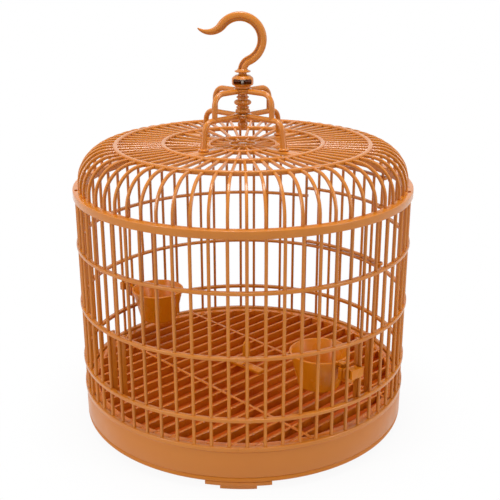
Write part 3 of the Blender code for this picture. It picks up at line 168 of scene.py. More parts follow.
def draw_tube(bm, path, sizes, azimuth=0.0, sides=14, wide=1.0, square=0.0, section=None):
    """Draws a loop along (r, z) points in the upright plane at an azimuth. Wide stretches it sideways
    and square pushes its corners out. A section of (across, outward) points replaces the circle."""
    turn = around(azimuth)
    across = turn @ Vector((1, 0, 0))
    points = [turn @ Vector((0, -r, z)) for r, z in path]
    loop = bmesh.ops.create_circle(bm, cap_ends=False, segments=sides, radius=0.5)["verts"]
    if section:
        for v, (x, y) in zip(loop, section):
            v.co = (x, y, 0)
    if square:
        for v in loop:
            angle = math.atan2(v.co.y, v.co.x)
            v.co *= 1 + square * math.sin(2 * angle) ** 2
    edges = list({e for v in loop for e in v.link_edges})
    first = edges
    last_place = Matrix.Identity(4)
    for i, point in enumerate(points):
        along = (points[min(i + 1, len(points) - 1)] - points[max(i - 1, 0)]).normalized()
        side = along.cross(across)
        place = Matrix((across * sizes[i] * wide, side * sizes[i], along * sizes[i])).transposed().to_4x4()
        place.translation = point
        if i:
            made = bmesh.ops.extrude_edge_only(bm, edges=edges)["geom"]
            loop = [g for g in made if isinstance(g, bmesh.types.BMVert)]
            edges = [g for g in made if isinstance(g, bmesh.types.BMEdge)]
            edges = [e for e in edges if e.verts[0] in set(loop) and e.verts[1] in set(loop)]
        bmesh.ops.transform(bm, matrix=place @ last_place.inverted(), verts=loop)
        last_place = place
    bmesh.ops.edgeloop_fill(bm, edges=first)
    bmesh.ops.edgeloop_fill(bm, edges=edges)


def soft_box(bm, size, place, soft=0.0003, segments=2):
    made = bmesh.ops.create_cube(bm, size=1, matrix=place @ Matrix.Diagonal((*size, 1)))["verts"]
    if soft:
        edges = list({e for v in made for e in v.link_edges})
        bmesh.ops.bevel(bm, geom=edges, offset=soft, offset_type="OFFSET", segments=segments, profile=0.5,
                        affect="EDGES", material=-1)


def radial_place(azimuth, radius, z):
    return around(azimuth) @ Matrix.Translation((0, -radius, z))


def upright_rod(bm, azimuth, low, high):
    shape = Matrix.Diagonal((*ROD_SIZE, 1, 1))
    bmesh.ops.create_cone(bm, cap_ends=True, segments=12, radius1=0.5, radius2=0.5, depth=high - low,
                          matrix=radial_place(azimuth, ROD_LINE, (low + high) / 2) @ shape)


def plate(bm, outline, low, high, place=Matrix.Identity(4), soft=0.0, segments=2):
    """A flat plate with this (x, y) outline, its edges softened."""
    before = set(bm.verts)
    face = bm.faces.new([bm.verts.new((x, y, low)) for x, y in outline])
    made = bmesh.ops.extrude_face_region(bm, geom=[face])["geom"]
    moved = [g for g in made if isinstance(g, bmesh.types.BMVert)]
    bmesh.ops.translate(bm, verts=moved, vec=(0, 0, high - low))
    if soft:
        rims = [e for e in {e for v in new_verts(bm, before) for e in v.link_edges}
                if abs(e.verts[0].co.z - e.verts[1].co.z) < 1e-7]
        bmesh.ops.bevel(bm, geom=rims, offset=soft, offset_type="OFFSET", segments=segments, profile=0.5,
                        affect="EDGES", material=-1)
    bmesh.ops.transform(bm, matrix=place, verts=new_verts(bm, before))


def smooth(mesh):
    """Shades a mesh smooth, with a crease wherever it turns sharply."""
    mesh.shade_smooth()
    mesh.set_sharp_from_angle(angle=math.radians(40))


def loose(bm, name):
    """Closes a bmesh as an object with its normals out."""
    bmesh.ops.recalc_face_normals(bm, faces=bm.faces)
    mesh = bpy.data.meshes.new(name)
    bm.to_mesh(mesh)
    bm.free()
    obj = bpy.data.objects.new(name, mesh)
    bpy.context.collection.objects.link(obj)
    return obj


def piece(name, bm, body, nodes, material):
    """Closes a piece and gives it its finish, its body and the nodes it stands for."""
    obj = loose(bm, name)
    smooth(obj.data)
    obj.data.materials.append(material)
    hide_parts(*nodes)
    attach(obj, body)
    return obj


def cut_away(obj, cutter):
    """Cuts one closed mesh from another and keeps the result as the mesh."""
    modifier = obj.modifiers.new("cut", "BOOLEAN")
    modifier.operation = "DIFFERENCE"
    modifier.solver = "EXACT"
    modifier.object = cutter
    bpy.context.view_layer.update()
    result = bpy.data.meshes.new_from_object(obj.evaluated_get(bpy.context.evaluated_depsgraph_get()))
    obj.modifiers.remove(modifier)
    obj.data = result
    bpy.data.objects.remove(cutter)


def drill(bm, radius, depth, place, sides=32):
    """A round cutter that is centred on its place."""
    bmesh.ops.create_cone(bm, cap_ends=True, segments=sides, radius1=radius, radius2=radius, depth=depth,
                          matrix=place)


def reopened(obj):
    """A bmesh of a finished piece, to add to."""
    bm = bmesh.new()
    bm.from_mesh(obj.data)
    return bm


def put_back(bm, obj):
    bmesh.ops.recalc_face_normals(bm, faces=bm.faces)
    bm.to_mesh(obj.data)
    bm.free()
    smooth(obj.data)


# Finishes

def moulding_group():
    """Colour drift, flow streaks and a faint pebbled skin, as on injection-moulded plastic."""
    group = bpy.data.node_groups.new("moulded_skin", "ShaderNodeTree")
    face = group.interface
    for name, kind, value in (("Colour", "NodeSocketColor", (0.6, 0.2, 0.05, 1)),
                              ("Deep Colour", "NodeSocketColor", (0.4, 0.1, 0.02, 1)),
                              ("Pale Colour", "NodeSocketColor", (0.8, 0.4, 0.2, 1)),
                              ("Drift", "NodeSocketFloat", 0.35), ("Streaks", "NodeSocketFloat", 0.2),
                              ("Gloss", "NodeSocketFloat", 0.3), ("Pebble", "NodeSocketFloat", 0.3)):
        socket = face.new_socket(name=name, in_out="INPUT", socket_type=kind)
        socket.default_value = value
    for name, kind in (("Colour", "NodeSocketColor"), ("Roughness", "NodeSocketFloat"),
                       ("Height", "NodeSocketFloat")):
        face.new_socket(name=name, in_out="OUTPUT", socket_type=kind)
    nodes, links = group.nodes, group.links
    given, out = nodes.new("NodeGroupInput"), nodes.new("NodeGroupOutput")
    where = nodes.new("ShaderNodeTexCoord").outputs["Object"]

    def noise(scale, detail, squeeze=None):
        texture = nodes.new("ShaderNodeTexNoise")
        texture.inputs["Scale"].default_value = scale
        texture.inputs["Detail"].default_value = detail
        source = where
        if squeeze:
            mapping = nodes.new("ShaderNodeMapping")
            mapping.inputs["Scale"].default_value = squeeze
            links.new(where, mapping.inputs["Vector"])
            source = mapping.outputs["Vector"]
        links.new(source, texture.inputs["Vector"])
        return texture.outputs["Fac"]

    def ranged(value, low, high, to_low=0.0, to_high=1.0):
        node = nodes.new("ShaderNodeMapRange")
        for key, number in (("From Min", low), ("From Max", high), ("To Min", to_low), ("To Max", to_high)):
            node.inputs[key].default_value = number
        links.new(value, node.inputs["Value"])
        return node.outputs["Result"]

    def maths(kind, a, b):
        node = nodes.new("ShaderNodeMath")
        node.operation = kind
        for socket, value in zip(node.inputs, (a, b)):
            if isinstance(value, float):
                socket.default_value = value
            else:
                links.new(value, socket)
        return node.outputs["Value"]

    def mixed(factor, a, b):
        node = nodes.new("ShaderNodeMix")
        node.data_type = "RGBA"
        links.new(factor, node.inputs["Factor"])
        links.new(a, node.inputs[6])
        links.new(b, node.inputs[7])
        return node.outputs[2]

    drift = ranged(noise(14, 3), 0.35, 0.7)
    streak = ranged(noise(60, 2, (1, 1, 0.12)), 0.42, 0.72)
    deep = mixed(maths("MULTIPLY", drift, given.outputs["Drift"]), given.outputs["Colour"],
                 given.outputs["Deep Colour"])
    colour = mixed(maths("MULTIPLY", streak, given.outputs["Streaks"]), deep, given.outputs["Pale Colour"])
    links.new(colour, out.inputs["Colour"])
    haze = ranged(noise(45, 4), 0.3, 0.75, -0.06, 0.08)
    links.new(maths("ADD", given.outputs["Gloss"], haze), out.inputs["Roughness"])
    skin = maths("ADD", maths("MULTIPLY", noise(900, 2), given.outputs["Pebble"]),
                 maths("MULTIPLY", noise(110, 2), 0.6))
    links.new(skin, out.inputs["Height"])
    return group


SKIN = moulding_group()


def plastic(name, colour, deep, pale, gloss=0.25, streaks=0.15, glow=0.06, shine=0.42):
    """A moulded plastic whose colour drifts to a deep tone and has pale flow streaks."""
    material = bpy.data.materials.new(name)
    material.use_nodes = True
    nodes, links = material.node_tree.nodes, material.node_tree.links
    shader = nodes["Principled BSDF"]
    skin = nodes.new("ShaderNodeGroup")
    skin.node_tree = SKIN
    for key, value in (("Colour", (*colour, 1)), ("Deep Colour", (*deep, 1)), ("Pale Colour", (*pale, 1)),
                       ("Gloss", gloss), ("Drift", 0.35), ("Streaks", streaks), ("Pebble", 0.2)):
        skin.inputs[key].default_value = value
    links.new(skin.outputs["Colour"], shader.inputs["Base Color"])
    links.new(skin.outputs["Roughness"], shader.inputs["Roughness"])
    bump = nodes.new("ShaderNodeBump")
    bump.inputs["Strength"].default_value = 0.12
    bump.inputs["Distance"].default_value = 0.0002
    links.new(skin.outputs["Height"], bump.inputs["Height"])
    links.new(bump.outputs["Normal"], shader.inputs["Normal"])
    shader.inputs["Subsurface Weight"].default_value = glow
    shader.inputs["Subsurface Radius"].default_value = (1.0, 0.35, 0.1)
    shader.inputs["Subsurface Scale"].default_value = 0.002
    shader.inputs["Specular IOR Level"].default_value = shine
    return material


BAND_COLOUR = (0.585, 0.187, 0.018)
CANE = plastic("caramel_cane", (0.60, 0.196, 0.016), (0.49, 0.136, 0.007), (0.70, 0.270, 0.038), gloss=0.2)
BAND = plastic("caramel_band", BAND_COLOUR, (0.53, 0.158, 0.012), (0.64, 0.230, 0.034), gloss=0.36,
               streaks=0.08)
# The grate's colour is its own caramel plastic made lighter than the canes': the extra lightness is painted
# light, for light the slats under the dome get too little of.
FLOOR = plastic("grate_plastic", (0.64, 0.180, 0.008), (0.54, 0.125, 0.003), (0.72, 0.250, 0.022))
# The tray's deep red-orange is painted shade: the saturated, reddened shade seen through the grate. Its
# outside bead is faded to the band's colour further down.
TRAY = plastic("tray_plastic", (0.60, 0.108, 0.002), (0.50, 0.078, 0.001), (0.66, 0.140, 0.004), gloss=0.4,
               shine=0.2)
CUP = plastic("cup_plastic", (0.66, 0.205, 0.004), (0.56, 0.150, 0.002), (0.72, 0.250, 0.010),
              streaks=0.05, glow=0.15, shine=0.3)


def band_rim_over_painted_shade(material, inner, outer):
    """Fades a round part's outside to the band's colour, from an inner to an outer radius. On the tray the
    deep colour left inside that radius is painted shade, the reddened shade under the grate.
    """
    nodes, links = material.node_tree.nodes, material.node_tree.links
    shader = nodes["Principled BSDF"]
    where = nodes.new("ShaderNodeTexCoord")
    flat = nodes.new("ShaderNodeVectorMath")
    flat.operation = "MULTIPLY"
    flat.inputs[1].default_value = (1, 1, 0)
    reach = nodes.new("ShaderNodeVectorMath")
    reach.operation = "LENGTH"
    mask = nodes.new("ShaderNodeMapRange")
    mask.inputs["From Min"].default_value = inner
    mask.inputs["From Max"].default_value = outer
    mix = nodes.new("ShaderNodeMix")
    mix.data_type = "RGBA"
    mix.inputs[7].default_value = (*BAND_COLOUR, 1)
    links.new(where.outputs["Object"], flat.inputs[0])
    links.new(flat.outputs["Vector"], reach.inputs[0])
    links.new(reach.outputs["Value"], mask.inputs["Value"])
    links.new(mask.outputs["Result"], mix.inputs["Factor"])
    links.new(shader.inputs["Base Color"].links[0].from_socket, mix.inputs[6])
    links.new(mix.outputs[2], shader.inputs["Base Color"])


# Leaves the painted shade inside the tray and gives its bead the band's colour.
band_rim_over_painted_shade(TRAY, 0.1605, 0.1620)


def steel():
    """Plain steel with a fine grain in its tone and roughness."""
    material = bpy.data.materials.new("pin_steel")
    material.use_nodes = True
    nodes, links = material.node_tree.nodes, material.node_tree.links
    shader = nodes["Principled BSDF"]
    where = nodes.new("ShaderNodeTexCoord")
    grain = nodes.new("ShaderNodeTexNoise")
    grain.inputs["Scale"].default_value = 700
    ramp = nodes.new("ShaderNodeValToRGB")
    ramp.color_ramp.elements[0].color = (0.30, 0.28, 0.24, 1)
    ramp.color_ramp.elements[1].color = (0.44, 0.42, 0.37, 1)
    spread = nodes.new("ShaderNodeMapRange")
    spread.inputs["To Min"].default_value = 0.35
    spread.inputs["To Max"].default_value = 0.55
    links.new(where.outputs["Object"], grain.inputs["Vector"])
    links.new(grain.outputs["Fac"], ramp.inputs["Fac"])
    links.new(ramp.outputs["Color"], shader.inputs["Base Color"])
    links.new(grain.outputs["Fac"], spread.inputs["Value"])
    links.new(spread.outputs["Result"], shader.inputs["Roughness"])
    shader.inputs["Metallic"].default_value = 1
    return material


STEEL = steel()


# Wall panels

def rail(bm, ends, start, end, inner=RAIL_IN, outer=RAIL_OUT, soft=0.0007):
    """A rail between two heights that runs from one azimuth to another."""
    low, high = ends
    steps = max(2, round((end - start) / TAU * 192))
    section = [(inner, low), (outer, low), (outer, high), (inner, high)]
    carry_round(bm, section, soft, start, end - start, steps)


def wall_panel(name, side):
    """Half of the wall. The right half has the doorway, the left half two rods that lean together."""
    seam = SEAM_GAP / RAIL_OUT
    start, end = (seam, math.pi - seam) if side == RIGHT else (math.pi + seam, TAU - seam)
    mid = {level: sum(ends) / 2 for level, ends in RAILS.items()}
    bm = bmesh.new()
    for level in ("bottom", "low", "middle"):
        rail(bm, RAILS[level], start, end)
    rail(bm, RAILS["top"], start, end, outer=TOP_RAIL_OUT, soft=0.0005)
    if side == RIGHT:
        past = ROD_SIZE[0] / 2 / ROD_LINE
        rail(bm, RAILS["high"], start, from_back(HINGE_ROD) + past)
        rail(bm, RAILS["high"], from_back(LATCH_ROD) - past, end)
    else:
        rail(bm, RAILS["high"], start, end)
    for count in range(1, RODS, 2):
        azimuth = rod_at(count) * side
        back = RODS - count
        if side == RIGHT and LATCH_ROD < back < HINGE_ROD:
            upright_rod(bm, azimuth, mid["bottom"], mid["middle"])
        elif side == LEFT and back in LEANING_RODS:
            upright_rod(bm, azimuth, mid["bottom"], mid["middle"])
            upright_rod(bm, azimuth, mid["high"], mid["top"])
            before = set(bm.verts)
            upright_rod(bm, azimuth, mid["middle"], mid["high"])
            feet = [v for v in new_verts(bm, before) if v.co.z < mid["middle"] + 1e-4]
            bmesh.ops.rotate(bm, verts=feet, cent=CENTRE, matrix=around(LEANING_RODS[back] / ROD_LINE))
        else:
            upright_rod(bm, azimuth, mid["bottom"], mid["top"])
        if count in POST_RODS:
            place = radial_place(azimuth, ROD_LINE - 0.0041, (mid["low"] + mid["middle"]) / 2)
            soft_box(bm, (0.0023, 0.005, mid["middle"] - mid["low"]), place, 0.0004)
    return piece(name, bm, "cage", WALL_NODES[side], CANE)


wall_panel("wall_right_canes", RIGHT)
wall_panel("wall_left_canes", LEFT)


# Door

def door_leaf():
    """Three rails with an eye each round the hinge rod, the rods between them and a tab to pull."""
    bm = bmesh.new()
    low, high = DOOR_RAILS[0][0], DOOR_RAILS[-1][0]
    start = from_back(HINGE_ROD) + EYE_OUT * 0.75 / ROD_LINE
    end = from_back(LATCH_ROD) - 0.00215 / ROD_LINE
    hinge = Matrix.Translation(outward(from_back(HINGE_ROD), ROD_LINE))
    for bottom, top in DOOR_RAILS:
        rail(bm, (bottom, top), start, end, 0.1606, 0.1648, 0.0008)
        before = set(bm.verts)
        eye = [(EYE_IN, bottom), (EYE_OUT, bottom), (EYE_OUT, top), (EYE_IN, top)]
        carry_round(bm, eye, 0.0006, steps=32)
        bmesh.ops.transform(bm, matrix=hinge, verts=new_verts(bm, before))
    for count in range(LATCH_ROD + 2, HINGE_ROD, 2):
        upright_rod(bm, from_back(count), low - 0.0009, high + 0.0015)
    tab = end - 0.003 / RAIL_OUT
    soft_box(bm, (0.006, 0.0032, 0.0025), radial_place(tab, 0.1648, low + 0.00155), 0.0006)
    return piece("door_leaf", bm, "door", ["door"], CANE)


door_leaf()


# Base

def base_parts():
    """The band under the wall, the pan whose rim shows as a bead under the band, and the stepped feet."""
    bm = bmesh.new()
    carry_round(bm, [(0.1616, 0.0132), (0.1640, 0.0132), (0.1640, 0.0392), (0.1550, 0.0392),
                     (0.1550, 0.0368), (0.1616, 0.0368)], 0.0005)
    piece("base_band_skin", bm, "cage", ["base_band"], BAND)
    bm = bmesh.new()
    turn_piece(bm, [(0, 0.0096), (0.152, 0.0096), (0.1521, 0.0083), (0.1526, 0.008),
                    (0.1626, 0.008), (0.1633, 0.0083), (0.1638, 0.0092), (0.164, 0.0104),
                    (0.1638, 0.0117), (0.1633, 0.0126), (0.1628, 0.0129), (0.1613, 0.0129),
                    (0.1613, 0.0245), (0.1610, 0.0249), (0.1600, 0.0249), (0.1597, 0.0244),
                    (0.1590, 0.0121), (0.1582, 0.0114), (0, 0.0114)], 192)
    piece("dung_tray_pan", bm, "base", ["dung_tray"], TRAY)
    for k in range(3):
        bm = bmesh.new()
        azimuth = TAU * k / 3
        wide, narrow = 0.0610 / 0.163, 0.0336 / 0.163
        carry_round(bm, [(0.150, 0.0036), (0.163, 0.0036), (0.163, 0.0077), (0.150, 0.0077)], 0.0009,
                    azimuth - wide / 2, wide, 20)
        carry_round(bm, [(0.151, 0.0), (0.162, 0.0), (0.162, 0.0056), (0.151, 0.0056)], 0.0006,
                    azimuth - narrow / 2, narrow, 14)
        piece(f"foot_{k + 1}_moulding", bm, "base", [f"foot_{k + 1}"], BAND)


base_parts()


def grate():
    """Slats with a crown each, two cross bars on them and a rim with a lip."""
    bm = bmesh.new()
    low, top, crown_top = 0.0339, 0.0421, 0.0427
    rim_in, rim_out, lip = 0.1523, 0.1547, 0.1591
    pitch, shift = 0.016, 0.0066
    carry_round(bm, [(rim_in, low), (rim_out, low), (rim_out, top - 0.0026), (lip, top - 0.0026),
                     (lip, top), (rim_in, top)], 0.0006)
    turn = around(math.radians(45))

    def strip(offset, width, bottom, high, reach, soft, place):
        half = math.sqrt(reach**2 - (abs(offset) + width / 2) ** 2)
        middle = place @ Matrix.Translation((0, offset, (bottom + high) / 2))
        soft_box(bm, (2 * half, width, high - bottom), middle, soft, 3)

    for k in range(-10, 9):
        offset = k * pitch + shift
        if abs(offset) < rim_in - 0.0034:
            strip(offset, 0.0017, low + 0.0003, crown_top - 0.0012, rim_out - 0.0006, 0.0002, turn)
            strip(offset, 0.0025, crown_top - 0.0020, crown_top, lip - 0.0006, 0.0009, turn)
    across = turn @ around(math.pi / 2)
    for offset in (-CROSS_BAR, CROSS_BAR):
        strip(offset, 0.0030, crown_top - 0.0016, crown_top + 0.0004, lip - 0.0006, 0.0009, across)
    return piece("floor_grate_slats", bm, "cage", ["floor_grate"], FLOOR)


grate()


# Dome

def ribs(bm, path, counts, size=CANE_SIZE, wide=0.93):
    for count in counts:
        draw_tube(bm, path, [size] * len(path), rod_at(count), 12, wide, 0.16)


def dome():
    """The hoop with its groove for the top rail, the roof's rings and hub, the ribs and the claw's pads."""
    low, high = HOOP
    groove = low + 0.0043
    bm = bmesh.new()
    carry_round(bm, [(0.1572, low), (0.1598, low), (0.1598, groove), (0.1641, groove), (0.1641, low),
                     (0.1655, low), (0.1655, high), (0.1572, high)], 0.0006)
    hoop = loose(bm, "hoop")
    slots = bmesh.new()
    for count in (27, -27):
        soft_box(slots, (0.006, 0.0028, 0.0044), radial_place(rod_at(count), 0.1621, high), 0.0003)
    cut_away(hoop, loose(slots, "slots"))
    bm = reopened(hoop)
    bpy.data.objects.remove(hoop)
    for radius, thick, drop in ROOF_RINGS:
        inner, outer = radius - thick / 2, radius + thick / 2
        low, high = ROOF - 0.0034 - drop, ROOF + 0.0012 - drop
        carry_round(bm, [(inner, low), (outer, low), (outer, high), (inner, high)], 0.0014, segments=4)
    hub = ROOF - CENTRE_DROP
    turn_piece(bm, smooth_profile([(0, hub - 0.0032), (0.0048, hub - 0.0032), (0.0048, hub + 0.0008),
                                   (0.003, hub + 0.0012), (0, hub + 0.0012)], 2), 32)
    carry_round(bm, [(0.0119, hub - 0.0032), (0.0139, hub - 0.0032), (0.0139, hub + 0.0010),
                     (0.0119, hub + 0.0010)], 0.0006, steps=64)
    middle = ROOF - 0.0015
    centre = middle - CENTRE_DROP
    bend = 0.031
    shoulder = list(arc((0.1278, middle - bend), bend, math.pi / 2, 0, 14))
    ribs(bm, [(0.0780, middle), (0.100, middle)] + shoulder + [(0.1588, 0.2422)], range(1, 2 * RODS, 2))
    ribs(bm, [(0.0337, centre), (0.0770, middle)], range(3, 2 * RODS, 4))
    for count in range(5, 2 * RODS, 8):
        start = 0.0042 if count % 32 == 5 else 0.0128
        ribs(bm, [(start, centre), (0.0327, centre)], [count], 0.0029, 0.76)
    for count in CLAW_COUNTS:
        place = radial_place(rod_at(count), PAD_SPOT, ROOF - 0.0021)
        soft_box(bm, (0.009, 0.044, 0.0026), place, 0.0008)
    return piece("dome_canes", bm, "cage", ["dome_roof"] + [f"dome_shoulder_{k}" for k in range(1, 9)],
                 CANE)


dome()


# Claw, spindle and swivel

def claw_arch(name, azimuth, upper_half):
    """One arch of two: its long bow with a foot at each end, its upper bow and its half of both hubs."""
    bm = bmesh.new()
    lower, upper = 0.30895, 0.33285
    foot = 0.2828
    path = [(0.0075, lower)] + list(arc((0.041, lower - 0.010), 0.010, math.pi / 2, 0, 8))
    path += [(0.0518, 0.2933), (0.0526, 0.2868), (FOOT_SPOT, 0.2845)]
    sizes = [CLAW_SIZE] * (len(path) - 3) + [0.0056, 0.0062, 0.0066]
    bow = [(0.0075, upper)] + list(arc((0.0265, upper - 0.011), 0.011, math.pi / 2, 0, 8))
    bow += [(0.0375, 0.3153), (0.0375, lower)]
    for turn in (0, math.pi):
        draw_tube(bm, path, sizes, azimuth + turn, 18)
        draw_tube(bm, bow, [CLAW_SIZE] * len(bow), azimuth + turn, 18)
        spot = Matrix.Translation(outward(azimuth + turn, FOOT_SPOT))
        turn_piece(bm, [(0, foot - 0.0028), (0.002, foot - 0.0028), (0.002, foot), (0.0047, foot),
                        (0.0051, foot + 0.0003), (0.0052, foot + 0.0008), (0.0050, foot + 0.0013),
                        (0.0042, foot + 0.0017), (0.0036, foot + 0.0022), (0, foot + 0.0022)], 28, spot)
    for hub in HUBS:
        low = hub + 0.00225 if upper_half else hub
        high = low + 0.0020
        turn_piece(bm, [(0, low), (0.0084, low), (0.0088, low + 0.0004), (0.0088, high - 0.0004),
                        (0.0084, high), (0, high)], 36)
    return piece(name, bm, "cage", [name.replace("_bows", "")], CANE)


claw_arch("claw_arch_a_bows", rod_at(CLAW_COUNTS[0]), True)
claw_arch("claw_arch_b_bows", rod_at(CLAW_COUNTS[1]), False)


def turned_parts():
    """The spindle between the hubs, with its fat bead, and the drop under the lower hub."""
    bm = bmesh.new()
    turn_piece(bm, [(0, 0.3018), (0.0023, 0.3018), (0.0023, 0.3114), (0.0050, 0.3114),
                    (0.0066, 0.3121), (0.0072, 0.3136), (0.0066, 0.3153), (0.0052, 0.3163),
                    (0.0049, 0.3166), (0.0061, 0.3168), (0.0063, 0.3174), (0.0060, 0.3180),
                    (0.0050, 0.3182), (0.0050, 0.3193), (0.0068, 0.3198), (0.0080, 0.3208),
                    (0.0084, 0.3220), (0.0080, 0.3232), (0.0068, 0.3242), (0.0050, 0.3247),
                    (0.0048, 0.3261), (0.0058, 0.3264), (0.0061, 0.3270), (0.0058, 0.3276),
                    (0.0048, 0.3279), (0.0046, 0.3303), (0.0023, 0.3304), (0.0023, 0.3383), (0, 0.3383)])
    piece("spindle_turning", bm, "cage", ["spindle"], CANE)
    bm = bmesh.new()
    turn_piece(bm, [(0, 0.2960), (0.0014, 0.2961), (0.0032, 0.2971), (0.0045, 0.2989),
                    (0.0050, 0.3008), (0.0046, 0.3026), (0.0035, 0.3039), (0.0032, 0.3047),
                    (0.0040, 0.3055), (0.0045, 0.3063), (0.0043, 0.3065), (0.0026, 0.3065),
                    (0.0026, 0.3010), (0, 0.3010)], 36)
    piece("drop_finial_turning", bm, "cage", ["drop_finial"], CANE)


turned_parts()


def swivel():
    """The housing with a window at its front and a bore at each end, and the pin that turns in it."""
    base, top = HOUSING
    bm = bmesh.new()
    turn_piece(bm, [(0, base), (0.0070, base), (0.0076, base + 0.0005), (0.0076, base + 0.0022),
                    (0.0082, base + 0.0027), (0.0096, base + 0.0032), (0.0103, base + 0.0042),
                    (0.0104, base + 0.0065), (0.0103, base + 0.0090), (0.0097, base + 0.0103),
                    (0.0086, base + 0.0112), (0.0078, base + 0.0118), (0.0070, top), (0, top)], 56)
    housing = piece("swivel_housing_barrel", bm, "cage", ["swivel_housing"], CANE)
    cuts = bmesh.new()
    window = Matrix.Translation((0, (0.0046 - 0.0208) / 2, base + 0.0068))
    soft_box(cuts, (0.0172, 0.0254, 0.0052), window, 0.0012, 3)
    cut_away(housing, loose(cuts, "window"))
    cuts = bmesh.new()
    drill(cuts, 0.0023, 0.010, Matrix.Translation((0, 0, top)))
    drill(cuts, 0.0026, 0.0066, Matrix.Translation((0, 0, base)))
    cut_away(housing, loose(cuts, "bores"))
    smooth(housing.data)
    bm = bmesh.new()
    low = base + 0.0042
    turn_piece(bm, [(0, low + 0.0003), (0.0015, low + 0.0003), (0.0018, low + 0.0006),
                    (0.0018, low + 0.0035), (0.0039, low + 0.0035), (0.0042, low + 0.0038),
                    (0.0042, low + 0.0046), (0.0039, low + 0.0049), (0.0018, low + 0.0049),
                    (0.0018, 0.3520), (0, 0.3520)], 32)
    piece("swivel_pin_steel", bm, "hook", ["swivel_pin"], STEEL)


swivel()


def hook():
    """A question mark of one tube with a groove along its inner side, on a neck with a collar."""
    neck = 0.3480
    shank = neck + 0.0057
    thick, tip_thick, tip_steps = 0.0088, 0.0008, 22
    small, big, flick = 0.010, 0.021, 0.016
    back, drop, tip = math.radians(66), math.radians(142), math.radians(230)
    curl = shank - 0.0014
    path = [(0, curl - 0.0012)] + list(arc((small, curl), small, math.pi, math.pi - back, 8))
    x, z = path[-1]
    middle = (x - big * math.cos(back), z + big * math.sin(back))
    path += list(arc(middle, big, -back, drop, 40))[1:]
    x, z = path[-1]
    middle = (x + flick * math.cos(drop), z + flick * math.sin(drop))
    path += list(arc(middle, flick, drop + math.pi, tip, tip_steps))[1:]
    sizes = [thick] * (len(path) - tip_steps)
    sizes += [tip_thick + (thick - tip_thick) * ((tip_steps - 1 - k) / tip_steps) ** 0.72
              for k in range(tip_steps)]
    near = [(0.20, 0.495), (0.34, 0.46), (0.42, 0.38), (0.46, 0.25), (0.485, 0.10), (0.48, -0.02),
            (0.45, -0.08), (0.39, -0.125), (0.22, -0.16), (0.19, -0.25), (0.22, -0.34), (0.30, -0.37),
            (0.33, -0.41), (0.29, -0.46), (0.16, -0.495)]
    section = [(0, 0.5)] + near + [(0, -0.5)] + [(-x, y) for x, y in reversed(near)]
    bm = bmesh.new()
    draw_tube(bm, [(-x, z) for x, z in path], sizes, -math.pi / 2, len(section), section=section)
    turn_piece(bm, [(0, neck), (0.0046, neck), (0.0040, neck + 0.0006), (0.0038, neck + 0.0018),
                    (0.0046, neck + 0.0023), (0.0068, neck + 0.0025), (0.0076, neck + 0.0029),
                    (0.0077, neck + 0.0034), (0.0074, neck + 0.0039), (0.0056, neck + 0.0045),
                    (0.0046, shank), (0, shank)], 40)
    piece("hook_moulding", bm, "hook", ["hook"], CANE)


hook()


# Seed cups and their arms

def cup(side, count):
    """A seed cup with its tongue, and the arm that clamps between two rods and takes the tongue."""
    azimuth = rod_at(count)
    bottom, rim = 0.0705, 0.1045
    place = Matrix.Translation(outward(azimuth, 0.117)) @ around(azimuth)
    bm = bmesh.new()
    turn_piece(bm, [(0, bottom + 0.0004), (0.0176, bottom + 0.0004), (0.0179, bottom), (0.0191, bottom),
                    (0.0198, bottom + 0.0005), (0.0202, bottom + 0.0020), (0.0276, rim - 0.0020),
                    (0.0283, rim - 0.0016), (0.0285, rim - 0.0010), (0.0285, rim - 0.0004), (0.0281, rim),
                    (0.0267, rim), (0.0264, rim - 0.0004), (0.0189, bottom + 0.0034),
                    (0.0176, bottom + 0.0016), (0, bottom + 0.0015)], 96, place)
    arm_top = 0.1000
    soft_box(bm, (0.0058, 0.0078, rim - 0.0006 - arm_top), radial_place(azimuth, 0.1476, (arm_top + rim) / 2))
    soft_box(bm, (0.0058, 0.0028, 0.0116), radial_place(azimuth, 0.1501, rim - 0.0063))
    piece(f"cup_{side}_shell", bm, f"cup_{side}", [f"cup_{side}"], CUP)
    bm = bmesh.new()
    soft_box(bm, (0.0096, 0.0130, 0.0115), radial_place(azimuth, 0.1533, 0.09425), 0.0005)
    arm = piece(f"cup_arm_{side}_moulding", bm, "cage", [f"cup_arm_{side}"], CUP)
    cuts = bmesh.new()
    soft_box(cuts, (0.0064, 0.0034, 0.0160), radial_place(azimuth, 0.1501, arm_top), 0)
    for k in range(3):
        for face in (-1, 1):
            place = radial_place(azimuth, 0.1525 + k * 0.0026, 0.0942)
            place = place @ Matrix.Translation((face * 0.0048, 0, 0))
            soft_box(cuts, (0.0024, 0.0014, 0.023), place, 0)
    cut_away(arm, loose(cuts, "grooves"))
    neck = reopened(arm)
    inner, outer, block, plate_in = 0.1598, 0.1641, 0.1662, 0.1580
    half, cheek = 0.0058, 0.0026
    outline = [(-half - cheek, -plate_in), (half, -plate_in), (half, -outer), (half + cheek, -outer),
               (half + cheek, -block), (-half, -block), (-half, -inner), (-half - cheek, -inner)]
    plate(neck, outline, 0.0947, 0.1039, around(azimuth), 0.0005)
    put_back(neck, arm)


for cup_side, cup_count in CUP_COUNTS.items():
    cup(cup_side, cup_count)


# Greens clip

